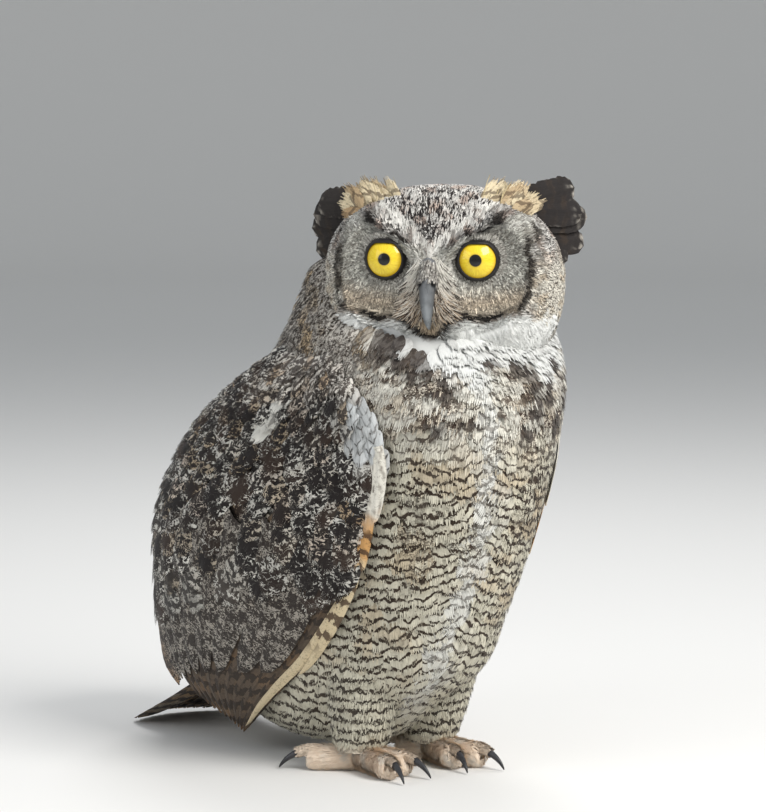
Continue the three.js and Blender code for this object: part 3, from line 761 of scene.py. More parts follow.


# %% [markdown]
# ## The plumage material
#
# One recipe paints every feather from the markings in the mesh, and its grain sets how fine the pattern is:
# fine on the face, coarse on the wings. Bars are a cosine of the phase that each vertex carries, shaken by
# noise so that no bar is straight; mottling is a fine stretched noise; the pale curling lines of back and
# wings are where a noise crosses its middle value; the shaft streak is dark where the vertex lies near the
# shaft; and a brown halo lies beside some bars. Fine lines along the barbs drive a small bump, and they also
# scale the colour: partly the barbs' own grain, partly a painted shade between the barbs.

# %% Nodes in short
class Nodes:
    """A short way to write a material's nodes: each call adds a node and joins what it is given."""

    def __init__(self, name, roughness=0.8, specular=0.25):
        self.material = bpy.data.materials.new(name)
        self.material.use_nodes = True
        self.tree = self.material.node_tree
        self.shader = self.tree.nodes["Principled BSDF"]
        self.shader.inputs["Roughness"].default_value = roughness
        self.shader.inputs["Specular IOR Level"].default_value = specular

    def plug(self, socket, value):
        """Joins another node's output to a socket, or sets the number, place or colour given."""
        if isinstance(value, bpy.types.NodeSocket):
            self.tree.links.new(value, socket)
        elif socket.type == "RGBA":
            socket.default_value = (*value, 1)
        else:
            socket.default_value = value

    def add(self, kind, inputs=(), **settings):
        """Any node, with its settings and what goes into its sockets."""
        node = self.tree.nodes.new(kind)
        for key, value in settings.items():
            setattr(node, key, value)
        for key, value in dict(inputs).items():
            self.plug(node.inputs[key], value)
        return node

    def math(self, operation, *values):
        """One sum on values or sockets."""
        node = self.add("ShaderNodeMath", operation=operation)
        for socket, value in zip(node.inputs, values):
            self.plug(socket, value)
        return node.outputs[0]

    def product(self, first, *others):
        """All values multiplied."""
        for other in others:
            first = self.math("MULTIPLY", first, other)
        return first

    def attribute(self, name, output="Fac"):
        """A value or colour stored in the mesh."""
        return self.add("ShaderNodeAttribute", attribute_name=name).outputs[output]

    def object_place(self):
        """The place on the object, in metres."""
        return self.add("ShaderNodeTexCoord").outputs["Object"]

    def place(self, x, y, z):
        """A place put together from three values."""
        return self.add("ShaderNodeCombineXYZ", {"X": x, "Y": y, "Z": z}).outputs[0]

    def stretch(self, vector, scale):
        """A place scaled along each axis."""
        return self.add("ShaderNodeMapping", {"Vector": vector, "Scale": scale}).outputs[0]

    def noise(self, vector, scale, detail=2.0, distortion=0.0):
        """Soft noise from 0 to 1."""
        inputs = {"Vector": vector, "Scale": scale, "Detail": detail, "Distortion": distortion}
        return self.add("ShaderNodeTexNoise", inputs).outputs["Fac"]

    def between(self, value, low, high, out_low=0.0, out_high=1.0):
        """A smooth step from out_low at low to out_high at high."""
        inputs = {"Value": value, "From Min": low, "From Max": high, "To Min": out_low, "To Max": out_high}
        return self.add("ShaderNodeMapRange", inputs, interpolation_type="SMOOTHSTEP").outputs["Result"]

    def blend(self, share, first, second):
        """A colour that goes from the first to the second with share."""
        node = self.add("ShaderNodeMix", data_type="RGBA")
        self.plug(node.inputs["Factor"], share)
        self.plug(node.inputs["A"], first)
        self.plug(node.inputs["B"], second)
        return node.outputs["Result"]

    def bump(self, height, strength, distance):
        """A bump on the shader's normal."""
        inputs = {"Height": height, "Strength": strength, "Distance": distance}
        self.plug(self.shader.inputs["Normal"], self.add("ShaderNodeBump", inputs).outputs["Normal"])


# %% Build the plumage material
def plumage(name, grain=1.0):
    """The material of a feathered surface; grain scales its finest pattern."""
    n = Nodes(name, roughness=0.82, specular=0.2)
    place = n.object_place()
    chance, across, crinkle = n.attribute("chance"), n.attribute("across"), n.attribute("crinkle")
    wander = n.math("SUBTRACT", n.noise(place, 115 * grain, 2), 0.5)
    tremble = n.math("SUBTRACT", n.noise(place, 430 * grain, 3), 0.5)
    phase = n.math("ADD", n.attribute("phase"), n.product(wander, n.math("ADD", crinkle, 0.7)))
    phase = n.math("ADD", phase, n.product(tremble, n.product(crinkle, 1.25)))
    wave = n.math("COSINE", n.product(phase, 2 * np.pi))

    over_edge = n.math("SUBTRACT", wave, n.attribute("edge"))
    broken = n.between(n.noise(place, 190, 2), 0.24, 0.4)
    bars = n.product(n.between(over_edge, -0.14, 0.18), n.attribute("bars"), broken)

    stretched = n.stretch(place, (1, 1, 1.6))
    crumbs = n.noise(stretched, 300 * grain, 2.5, 1.0)
    level = n.math("ADD", crumbs, n.product(n.attribute("mottle"), 0.15))
    mottle = n.product(n.between(level, 0.6, 0.66), n.math("MINIMUM", n.attribute("mottle"), 1.0))

    curls = n.math("ABSOLUTE", n.math("SUBTRACT", n.noise(stretched, 300 * grain, 2.0, 0.9), 0.5))
    line = n.math("MULTIPLY_ADD", n.attribute("edge"), 0.09, 0.046)
    curls = n.between(n.math("SUBTRACT", curls, line), -0.012, 0.018)
    curls = n.product(curls, n.between(crinkle, 0.5, 0.95))

    near_shaft = n.between(n.math("ABSOLUTE", across), 0.16, 0.02)
    streak = n.product(near_shaft, n.attribute("streak"))
    ink_share = n.math("MAXIMUM", n.math("MAXIMUM", bars, mottle), n.math("MAXIMUM", streak, curls))

    ground = n.blend(n.product(chance, 0.12), n.attribute("ground", "Color"), (0.13, 0.1, 0.07))
    cloud = n.between(n.noise(place, 90, 3), 0.42, 0.7)
    halo = n.product(n.between(over_edge, -0.9, 0.05), n.attribute("bars"), cloud)
    halo = n.product(halo, n.math("MULTIPLY_ADD", n.attribute("mottle"), 0.8, 0.25))
    ground = n.blend(halo, ground, paint(116, 92, 66))
    colour = n.blend(ink_share, ground, n.attribute("ink", "Color"))

    barbs = n.place(n.product(across, 20.0), n.attribute("along"), n.product(chance, 40.0))
    barbs = n.stretch(barbs, (1, 1.4, 1))
    threads = n.noise(barbs, 2.4, 3)
    # the threads scale the colour: partly the barbs' own grain, partly a painted shade between barbs
    shaded = n.add("ShaderNodeVectorMath", {0: colour}, operation="SCALE")
    n.plug(shaded.inputs["Scale"], n.between(threads, 0.25, 0.7, 0.8, 1.07))
    n.plug(n.shader.inputs["Base Color"], shaded.outputs[0])
    n.shader.inputs["Sheen Weight"].default_value = 0.12
    n.shader.inputs["Sheen Roughness"].default_value = 0.5
    n.bump(threads, 0.35, 0.0005)
    return n.material


body_plumage = plumage("plumage")
face_plumage = plumage("face_plumage", 1.7)
wing_plumage = plumage("wing_plumage", 0.68)
crown_plumage = plumage("crown_plumage", 0.9)

# %% Bars, hearts and map places of feathers
BAR_SPACING = 7.2 * MM


def phase_of(feathers, spacing=BAR_SPACING, cusp=0.5, own=0.0, stray=0.0):
    """
    Bars lie level on the body and hang down at each shaft, with a small spike on it; own turns some of that
    into bars of the feather itself, and stray shifts its bars by up to that share of their spacing.
    """
    height = feathers["points"][..., 2] / spacing
    length = per_feather(np.linalg.norm(feathers["stroke"], axis=1))
    along = -feathers["along"] * length / spacing
    across = np.abs(feathers["across"])
    spike = 0.18 * np.exp(-(across / 0.1) ** 2)
    shift = chances.uniform(-stray, stray, (len(length), 1, 1, 1))
    return height * (1 - own) + along * own - cusp * across ** 1.3 + spike + shift


def with_hearts(feathers, marks, strength, where=0.72):
    """Markings whose feathers are plain and dark in the middle near the tip, pale and curly beside it."""
    heart = np.exp(-(feathers["across"] / 0.45) ** 2 - ((feathers["along"] - where) / 0.2) ** 2)
    strength = per_feather(strength * chances.choice([0, 0.3, 0.7, 1.2], len(heart)))
    rim = smooth(np.maximum(np.abs(feathers["across"]), feathers["along"]), 0.84, 1.0)
    edge = per_feather(marks["edge"]) + 0.2 * (1 - heart) + 0.35 * rim - strength * heart
    tone = chances.uniform(0.82, 1.12, (len(heart), 1))
    return {**marks, "edge": edge, "ground": marks["ground"] * tone, "ink": marks["ink"] * tone}


def patches(feathers, root_uv, size):
    """Map places for the bake: each feather is a square patch of side size at its root's place."""
    u = per_feather(root_uv[:, 0]) + (np.clip(feathers["across"], -1, 1) / 2) * size
    v = per_feather(root_uv[:, 1]) + (feathers["along"] - 0.5) * size
    return vectors(u, v)


# %% Turn combs into a coat
def dress(piece, slot, *replaced):
    """Tells the frame that a finished piece rides on the owl, and hides what it stands for; slot, what it is
    made of, is not used.
    """
    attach(piece, "root")
    if replaced:
        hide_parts(*replaced)


def coat(name, slot, groups, material=body_plumage, replaced=()):
    """One mesh of many combs. Each group is (feathers, markings, phase, map places)."""
    points, uvs, faces, layers = [], [], [], {}
    start = 0
    for feathers, marks, phase, uv in groups:
        grid = feathers["points"]
        count, locks, rows, columns = grid.shape[:4]
        strip = grid_faces(rows, columns)
        offsets = start + np.arange(count * locks) * rows * columns
        faces.append((strip[None] + offsets[:, None, None]).reshape(-1, 4))
        start += count * locks * rows * columns
        points.append(grid.reshape(-1, 3))
        uvs.append(uv.reshape(-1, 2))
        spread = np.ones(grid.shape[:4])
        tint = chances.random((count, locks))[..., None, None] * 0.5
        tint = tint + per_feather(chances.random(count)) * 0.5
        values = {"phase": phase, "across": feathers["across"], "along": feathers["along"],
                  "chance": tint, **marks}
        for key, value in values.items():
            value = per_feather(value) if value.ndim <= 2 else value
            if value.ndim == 4:
                flat = (value * spread).reshape(-1)
            else:
                flat = (value * spread[..., None]).reshape(-1, 3)
            layers.setdefault(key, []).append(flat)
    piece = mesh_object(name, np.concatenate(points), np.concatenate(faces), material)
    for key, values in layers.items():
        store(piece.data, key, np.concatenate(values))
    corner = np.zeros(len(piece.data.loops), dtype=np.int32)
    piece.data.loops.foreach_get("vertex_index", corner)
    bake_map = piece.data.uv_layers.new(name="OFBake")
    bake_map.uv.foreach_set("vector", np.concatenate(uvs)[corner].astype(np.float32).ravel())
    dress(piece, slot, *replaced)
    print(name, len(piece.data.polygons) * 2, "triangles")


# %% [markdown]
# ## The skin
#
# Under the feathers an owl is much slimmer than it looks. One skin covers head, neck, trunk, wings, legs and
# toes, and lies inside the outline by the depth of the coat. It could be sculpted, but the forms are already
# known, so each is drawn again a few millimetres inside itself, and a voxel remesh melts them into one
# closed surface without seams. It carries the same markings as the feathers, so no gap shows a wrong colour.

# %% Closed shapes inside the forms
def closed_tube(grid):
    """Points and quads of rings of points (rows, columns, 3), with each end drawn together to one point."""
    ends = [np.broadcast_to(grid[k].mean(axis=0), grid[:1].shape) for k in (0, -1)]
    rings = np.concatenate([ends[0], grid, ends[1]])
    return rings.reshape(-1, 3), grid_faces(len(rings), grid.shape[1], wrap=True)


def skin_of_slices(form, low, high, inset, rings=60, columns=60):
    """Level rings on a form between two heights, drawn in by inset."""
    z, angle = grid_of(np.linspace(low, high, rings) * MM, np.linspace(0, 360, columns, endpoint=False))
    return closed_tube(form.drop(form.point(angle, z), -inset * MM)[0])


def skin_of_head(inset, rings=60, columns=90):
    """Rings round the head from chin to crown, drawn in by inset."""
    tilt, turn = grid_of(np.radians(np.linspace(-86, 86, rings)), full_turn(columns))
    direction = vectors(np.cos(tilt) * np.sin(turn), np.cos(tilt) * np.cos(turn), np.sin(tilt))
    return closed_tube(head_form.drop(from_head(head_form.surface(direction)), -inset * MM)[0])


def skin_of_wing(sign, outer=6, inner=13):
    """A thin slab: out along the wing's outer face, back along its inner face."""
    z, share = grid_of(np.linspace(106, 280, 60) * MM, np.linspace(0.08, 0.92, 24))
    place = cloak_form.point(sign * wing_angle(share, z), z)
    faces = [cloak_form.drop(place, -inset * MM)[0] for inset in (outer, inner)]
    return closed_tube(np.concatenate([faces[0], faces[1][:, ::-1]], axis=1))


def skin_of_rod(rod, inset, rings=14, columns=16):
    """Rings along a rod and past its claw end, that shrink as a half circle at each end."""
    along, angle = grid_of(np.linspace(-0.999, 0.999, rings), full_turn(columns))
    one = unit(np.cross(rod.axis, [0, 0, 1.0]))
    two = np.cross(rod.axis, one)
    ring = np.cos(angle)[..., None] * one + np.sin(angle)[..., None] * two
    radius = (rod.radius - inset * MM) * np.sqrt(1 - np.abs(along) ** 6)
    beyond = rod.end + 0.7 * rod.radius * rod.axis
    middle = rod.start + (along[..., None] + 1) / 2 * (beyond - rod.start)
    return closed_tube(middle + ring * radius[..., None])


def skin_of_tail(rings=20, columns=24):
    """The fleshy root of the tail: a flattened cone that slopes down and back from the rump."""
    along, angle = grid_of(np.linspace(0, 1, rings), full_turn(columns))
    half_width, half_thick = 26 - 8 * along, 15 - 10 * along
    up = 84 - 52 * along + half_thick * np.sin(angle)
    return closed_tube(vectors(half_width * np.cos(angle), 20 + 100 * along, up) * MM)


# %% Melt them into one skin
SKIN_VOXEL, SKIN_SOFTENING = 2.6 * MM, 6
WING_LOWEST, WING_HIGHEST, LEG_HIGHEST = 14 * MM, 286 * MM, 90 * MM


def melted(name, shapes):
    """Joins closed shapes by a voxel remesh and softens the result."""
    starts = np.cumsum([0] + [len(points) for points, _ in shapes[:-1]])
    points = np.concatenate([points for points, _ in shapes])
    faces = np.concatenate([quads + start for (_, quads), start in zip(shapes, starts)])
    rough = mesh_object(name + "_rough", points, faces, body_plumage)
    remesh = rough.modifiers.new("melt", "REMESH")
    remesh.mode, remesh.voxel_size = "VOXEL", SKIN_VOXEL
    soft = rough.modifiers.new("soften", "SMOOTH")
    soft.factor, soft.iterations = 0.5, SKIN_SOFTENING
    mesh = bpy.data.meshes.new_from_object(rough.evaluated_get(bpy.context.evaluated_depsgraph_get()))
    mesh.name = name
    bpy.data.objects.remove(rough)
    piece = bpy.data.objects.new(name, mesh)
    bpy.context.collection.objects.link(piece)
    mesh.polygons.foreach_set("use_smooth", np.ones(len(mesh.polygons), dtype=bool))
    return piece


def places_of(mesh):
    """The mesh's vertices as an (n, 3) array."""
    flat = np.empty(len(mesh.vertices) * 3, dtype=np.float32)
    mesh.vertices.foreach_get("co", flat)
    return flat.reshape(-1, 3).astype(float)


def marks_at(p):
    """Markings of whichever form lies nearest to each point p, wings and legs only where they are."""
    share, z = wing_share(p), p[..., 2]
    on_wing = (share > -0.02) & (share < 1.02) & (z > WING_LOWEST) & (z < WING_HIGHEST)
    hosts = [(body_form, body_marks), (head_form, head_marks), (cloak_form, wing_marks)]
    hosts += [(form, leg_marks) for form in leg_forms.values()]
    hosts += [(form, toe_marks) for form in toe_forms.values()]
    distance = np.stack([np.linalg.norm(form.drop(p)[0] - p, axis=-1) for form, _ in hosts])
    distance[2] = np.where(on_wing, distance[2] - 3 * MM, 1)
    distance[3:5] = np.where(z < LEG_HIGHEST, distance[3:5], 1)
    nearest = np.argmin(distance, axis=0)
    made = body_marks(p)
    for k, (_, marks) in enumerate(hosts[1:], start=1):
        made = blend_marks(made, marks(p), (nearest == k).astype(float))
    return made


shapes = [skin_of_slices(body_form, 14, 336, 8), skin_of_head(4), skin_of_tail()]
for side, sign in SIDES.items():
    shapes += [skin_of_wing(sign), skin_of_slices(leg_forms[side], 14, 90, 4, 30, 30)]
shapes += [skin_of_rod(rod, 1.8) for rod in toe_forms.values()]
skin = melted("skin", shapes)
skin_places = places_of(skin.data)
skin_marks = marks_at(skin_places)
for key, values in skin_marks.items():
    store(skin.data, key, values)
store(skin.data, "phase", skin_places[:, 2] / BAR_SPACING)
for key, value in (("along", 0.5), ("across", 1.0), ("chance", 0.6)):
    store(skin.data, key, np.full(len(skin_places), value))
limbs = [f"{part}_{side}" for part in ("wing", "leg", "foot") for side in SIDES]
dress(skin, "breast", "head", "neck", "trunk", *limbs)
print("skin has", len(skin.data.polygons), "faces")

# %% [markdown]
# ## Feathers of breast, belly and back
#
# The roots are scattered at random and thinned to about one in each small cube, so the spacing stays even.
# On the breast the feathers lean towards the parting and sink a little there, which makes its two soft
# folds. The bars of a breast feather are level with its neighbours' but dip at each shaft.

# %% Scatter roots and lay strokes
def scatter(form, angles, heights, spacing, tries=14):
    """Random roots between two angles and two heights of a stack of slices, about one to each cube."""
    around = 0.5 * (angles[1] - angles[0]) / 360
    count = int(tries * around * (heights[1] - heights[0]) * MM / spacing ** 2)
    z = chances.uniform(*heights, count) * MM
    roots = form.point(chances.uniform(*angles, count), z)
    return roots[thin_out(roots, spacing)]


def lay(form, root, wish, length, stray=0.1):
    """Strokes of a length along the part of the wish that lies in the surface, each a bit astray."""
    normal = form.drop(root)[1]
    wish = unit(wish) + chances.normal(0, stray, wish.shape)
    return square_to(wish, normal) * np.asarray(length)[..., None]


def body_flow(p):
    """Down, a little back, towards the parting beside it, and swept back low on the flanks."""
    off = beside_parting(p)
    z, angle = p[..., 2] / MM, np.abs(body_form.angle(p))
    front = 1 - smooth(angle, 50, 80)
    lean = -0.55 * (off / 14) * np.exp(0.5 - 0.5 * (off / 14) ** 2)
    lean = lean * smooth(z, 20, 50) * (1 - smooth(z, 210, 240))
    back = 0.1 + 1.2 * smooth(-z, -75, -25) * smooth(angle, 30, 80) + 0.3 * smooth(angle, 90, 130)
    outward = 0.16 * np.sign(p[..., 0]) * smooth(angle, 20, 60) * smooth(z, 235, 290)
    return vectors(lean * front + outward, back, -1)


def body_map(p):
    """A point's place on the unrolled body: its angle across, its height upwards."""
    return vectors(0.5 + body_form.angle(p) / 375, p[..., 2] / 0.36)


def in_face(p):
    """True where a point of the body lies before the face, which hides no feather of the body."""
    side, ahead, up = np.moveaxis(to_head(p), -1, 0)
    return (ahead > 0) & (np.abs(side) < 66) & (up > frown_line(np.abs(side)) - 4)


def under_wing(p, margin=0.06):
    """True where a point of the body lies well under a folded wing."""
    share, z = wing_share(p), p[..., 2] / MM
    return (share > margin) & (share < 1 - margin) & (z > 40) & (z < 270)


def body_group(root, length, width, locks, rows, cusp=0.55, heart=0.0, **shape):
    """Feathers of trunk or neck with their markings, bars and map places; they sink beside the parting."""
    root = root[~(in_face(root) | under_wing(root))]
    size = chances.uniform(0.88, 1.12, len(root))
    stroke = lay(body_form, root, body_flow(root), length * size)
    z = root[:, 2] / MM
    sunk = 6 * MM * bell(beside_parting(root), 7) * (1 - smooth(np.abs(body_form.angle(root)), 60, 80))
    sunk = sunk * smooth(z, 30, 60) * (1 - smooth(z, 225, 250))
    feathers = comb(body_form, root, stroke, width * size, locks, rows, lift=-sunk, **shape)
    rise = 9 * bell(beside_parting(feathers["points"]), 20)
    phase = phase_of(feathers, cusp=cusp, stray=0.14) - rise * MM / BAR_SPACING
    marks = body_marks(root + 0.6 * stroke)
    if heart:
        marks = with_hearts(feathers, marks, heart * smooth(marks["crinkle"], 0.4, 0.9))
    return feathers, marks, phase, patches(feathers, body_map(root), 0.016)


# %% Dress breast, back and neck
for side, angles in (("left", (-4, 112)), ("right", (-112, -4))):
    belly = scatter(body_form, angles, (24, 245), 9.5 * MM)
    chest = scatter(body_form, angles, (240, 280), 6 * MM)
    throat = scatter(body_form, angles, (272, 316), 5 * MM)
    coat(f"breast_{side}", "breast", [
        body_group(belly, 31 * MM, 24 * MM, 17, 6, depth=7 * MM, camber=0.9 * MM),
        body_group(chest, 23 * MM, 12 * MM, 9, 5, depth=7 * MM, camber=0.6 * MM, heart=0.7, ragged=0.1),
        body_group(throat, 19 * MM, 8.5 * MM, 7, 5, depth=6.5 * MM, camber=0.5 * MM, ragged=0.16)])

for side, angles in (("left", (108, 182)), ("right", (-182, -108))):
    back = scatter(body_form, angles, (40, 272), 8.5 * MM)
    mantle = body_group(back, 30 * MM, 22 * MM, 13, 5, depth=7 * MM, camber=1.2 * MM, cusp=0.9, heart=0.9)
    coat(f"mantle_{side}", "mantle", [mantle])

vent = scatter(body_form, (-180, 180), (14, 44), 7 * MM)
neck = scatter(body_form, (60, 300), (262, 348), 5.4 * MM)
coat("neck_feathers", "mantle", [
    body_group(vent, 22 * MM, 15 * MM, 7, 4, depth=5 * MM),
    body_group(neck, 20 * MM, 10 * MM, 7, 5, depth=7 * MM, camber=0.7 * MM, cusp=0.9, heart=0.8,
               ragged=0.12)])

# %% [markdown]
# ## The folded wings
#
# A folded wing is layers of feathers on one curved sheet: small coverts over the shoulder, larger ones below,
# then the long secondaries, and the primaries whose stacked edges end in the point beside the tail. All of
# them run from the shoulder to the tip along lines that keep their share of the way between the wing's front
# and back edge, so a wing is planned in two numbers: that share, and the height.

# %% Coverts in staggered rows
def wing_place(sign, share, z):
    """The point of the wing's sheet at a share of its breadth and a height in mm."""
    z = z * MM
    return cloak_form.point(sign * wing_angle(share, z), z)


def wing_map(p):
    """A point's place on the unrolled wing."""
    return vectors(0.1 + 0.8 * wing_share(p), p[..., 2] / 0.32)


def wing_pitch(z):
    """Distance between neighbouring coverts in mm: small on the shoulder, large below."""
    return 19 - 11.5 * smooth(z, 96, 250)


def wing_rows(sign, lowest, highest):
    """Roots of coverts in staggered rows whose lines slope down towards the wing's back edge."""
    share, z = [], []
    level, number = lowest, 0
    while level < highest:
        pitch = wing_pitch(level)
        count = int(np.clip(172 - 0.3 * abs(level - 150), 70, 172) / pitch)    # by the wing's breadth there
        place = (np.arange(count) + 0.25 + 0.5 * (number % 2)) / count
        foremost = 0.025 + 0.04 * (1 - smooth(level, 200, 226))
        share.append(np.clip(place + chances.normal(0, 0.14 / count, count), foremost, 0.985))
        tilt = 52 * (place - 0.3) * (1 - smooth(level, 130, 235))
        z.append(level - tilt + chances.normal(0, 0.1 * pitch, count))
        level, number = level + 0.7 * pitch, number + 1
    share, z = np.concatenate(share), np.concatenate(z)
    return wing_place(sign, share, z), share, z


def wing_group(sign, lowest, highest, locks, rows, **shape):
    """Coverts with their markings: bars that follow each feather more than the body."""
    root, share, z = wing_rows(sign, lowest, highest)
    pitch = wing_pitch(z) * MM
    size = chances.uniform(0.9, 1.1, len(root))
    wish = unit(wing_place(sign, share + 0.02 * smooth(-z, -120, -60), z - 12) - root)
    wish[:, 0] += sign * chances.normal(0, 0.07, len(root))
    stroke = lay(cloak_form, root, wish, 2.5 * pitch * size, 0.03)
    rim = 5 * MM * (1 - smooth(np.minimum(share, 1 - share), 0.0, 0.1))
    feathers = comb(cloak_form, root, stroke, 1.75 * pitch * size, locks, rows, lift=-rim, **shape)
    phase = phase_of(feathers, 9 * MM, cusp=0.7, own=0.75, stray=0.4)
    marks = wing_marks(root + 0.72 * stroke)
    plain = 1 - smooth(marks["edge"], 0.35, 0.6)
    return feathers, with_hearts(feathers, marks, 0.9 * plain), phase, patches(feathers, wing_map(root), 0.03)


for side, sign in SIDES.items():
    coverts = wing_group(sign, 140, 286, 21, 6, depth=6 * MM, camber=1.7 * MM, opening=0.3,
                         ragged=0.035, rounding=0.3)
    coat(f"wing_coverts_{side}", "mantle", [coverts], wing_plumage)


# %% Long feathers of wing and tail
def vane(form, spine, aside, half, rows, columns, lift, keel=0.8 * MM, cup=1.0 * MM,
         ragged=0.03, point=9, facing=None):
    """
    Long feathers as grids. Spine is (count, rows, 3), aside the unit direction across, half the half width
    per row. Across goes from -1 to 1; the shaft stands keel high, the rims bend down by cup, and the tip is
    rounded by narrowing half as sqrt(1 - along ** point).
    """
    count = len(spine)
    across = np.linspace(-1, 1, columns)
    along = np.linspace(0, 1, rows)
    outline = half * np.sqrt(np.clip(1.001 - along ** point, 0, 1))[None]
    torn = 1 + chances.uniform(-ragged, ragged, (count, rows, columns)) * np.abs(across) ** 3
    place = spine[:, :, None] + (outline[..., None] * across * torn)[..., None] * aside[:, :, None]
    ridge = keel * np.exp(-(across / 0.09) ** 2) * (1 - along[:, None] ** 2)
    height = lift[..., None] + ridge[None] - cup * across ** 2
    upward = np.array([0, 0, 1.0]) if facing is None else facing[:, None, None]
    points = form.drop(place, height)[0] if form else place + height[..., None] * upward
    grid = np.ones((count, rows, columns))
    return {"points": points[:, None], "along": (along[:, None] * grid)[:, None],
            "across": (across * grid)[:, None], "root": spine[:, 0], "stroke": spine[:, -1] - spine[:, 0]}


def vane_map(feathers, first=0.0, last=1.0):
    """Map places for long feathers: each has a strip of its own, side by side between first and last."""
    count, _, rows, columns = feathers["along"].shape
    strip = (last - first) / count
    left = first + strip * np.arange(count)[:, None, None]
    u = left + strip * np.linspace(0.08, 0.92, columns)
    return vectors(u, np.linspace(0.02, 0.98, rows)[:, None])[:, None]


def wing_vanes(sign, top, tip, width, lift, rows=26, columns=13):
    """Vanes between (share, height) pairs top and tip, arrays of shape (count, 2)."""
    t = np.linspace(0, 1, rows)[None]
    share = top[:, :1] + (tip[:, :1] - top[:, :1]) * t ** 1.3
    z = top[:, 1:] + (tip[:, 1:] - top[:, 1:]) * t
    spine = wing_place(sign, share, z)
    run = np.gradient(spine, axis=1)
    normal = cloak_form.drop(spine)[1]
    aside = unit(np.cross(run, normal)) * sign
    half = np.asarray(width)[:, None] / 2 * (0.75 + 0.25 * np.sin(np.pi * t))
    return vane(cloak_form, spine, aside, half, rows, columns, lift[:, None] + 0 * t)


def secondary_marks(p):
    """Secondaries: grey and finely mottled, with broad dark bars, tawny near the tail."""
    ground = mix(paint(166, 160, 150), TAWNY, 0.6 * smooth(wing_share(p), 0.62, 0.9))
    return answer(p, ground, paint(46, 39, 35), bars=0.95, edge=0.15, mottle=0.25, streak=0.4, crinkle=0.95)


def primary_marks(p):
    """Primaries: dark brown with faint paler bars."""
    ground = mix(paint(92, 79, 66), paint(120, 96, 72), dapple(p, 18, 31, 0.1, 0.9))
    return answer(p, ground, paint(50, 42, 36), bars=0.9, edge=0.0, mottle=0.3, streak=0.4, crinkle=0.4)


for side, sign in SIDES.items():
    many = np.linspace(0, 1, 12)
    top = vectors(0.14 + 0.8 * many, 172 - 10 * many)
    tip = vectors(0.15 + 0.83 * many, 60 - 36 * many + 10 * many ** 2)
    secondaries = wing_vanes(sign, top, tip, (26 - 2 * many) * MM, (-2.2 + 1.6 * many) * MM)
    many = np.linspace(0, 1, 10)
    top = vectors(0.05 + 0.2 * many, 188 - 6 * many)
    tip = vectors(0.1 + 0.6 * many, 10 + 18 * many ** 1.2)
    primaries = wing_vanes(sign, top, tip, (20 - 2 * many) * MM, (-5.2 + 2.2 * many) * MM)
    kinds = ((secondaries, secondary_marks, 17 * MM, 0.0, 0.6), (primaries, primary_marks, 15 * MM, 0.6, 1.0))
    coat(f"wing_flight_{side}", "mantle", [
        (feathers, marks(feathers["points"]), phase_of(feathers, spacing, 0.25, 0.6),
         vane_map(feathers, first, last))
        for feathers, marks, spacing, first, last in kinds])


# %% The wing's front edge
def edge_marks(p):
    """The outer webs of the first primaries: cream, then tawny with dark bars, then a thin pale line."""
    z = p[..., 2] / MM + 3 * ripple(p, 9, 33)
    white = mix(paint(230, 226, 214), paint(168, 162, 152), dapple(p * [3, 3, 0.6], 8, 34, 0.1, 0.7))
    ground = mix(white, paint(204, 156, 98), 1 - smooth(z, 168, 186))
    ground = mix(ground, paint(222, 204, 168), 1 - smooth(z, 140, 156))
    bars = 0.9 * (1 - smooth(z, 166, 176)) * smooth(z, 78, 96)
    return answer(p, ground, paint(76, 56, 42), bars=bars, edge=0.3, mottle=0.3)


WEB_TOPS = np.array([[0.02, 227], [0.035, 220], [0.04, 196], [0.03, 172]])
WEB_TIPS = np.array([[0.004, 176], [0.008, 142], [0.0, 62], [0.045, 16]])
WEB_WIDTHS, WEB_LIFTS = np.array([10, 9, 8, 7]) * MM, np.array([-1, -1.8, -2.6, -3.4]) * MM
for side, sign in SIDES.items():
    webs = wing_vanes(sign, WEB_TOPS, WEB_TIPS, WEB_WIDTHS, WEB_LIFTS, 40, 7)
    phase = webs["points"][..., 2] / (12 * MM) + 0.2 * webs["across"]
    coat(f"wing_edge_{side}", "mantle", [(webs, edge_marks(webs["points"]), phase, vane_map(webs))])

# %% [markdown]
# ## The tail
#
# Twelve tail feathers lie in a flat fan that slopes to the floor. The middle pair lies on top, and each
# feather further out lies a little lower, as they do when the tail is closed. They are warm brown with dark
# bars, and their undersides, which nobody sees here, are the same mesh.

# %% Lay the tail fan
TAIL_ROOT_FORWARD, TAIL_TIP_FORWARD = -38, -198
TAIL_ROOT_UP, TAIL_TIP_UP = 84, 1.2
TAIL_PAIRS, TAIL_ROWS = 6, 34


def tail_height(along, across):
    """Height in mm of the tail's middle sheet: steep at the rump, level where it meets the floor."""
    return TAIL_TIP_UP + (TAIL_ROOT_UP - TAIL_TIP_UP) * (1 - along) ** 1.15 - 8 * (1 - along) * across ** 2


def tail_marks(p):
    """Tail: tawny and grey with dark bars."""
    ground = mix(paint(158, 128, 92), paint(150, 140, 124), dapple(p, 26, 41, -0.2, 0.7))
    return answer(p, ground, paint(54, 42, 35), bars=1.0, edge=-0.05, mottle=0.5, streak=0.3)


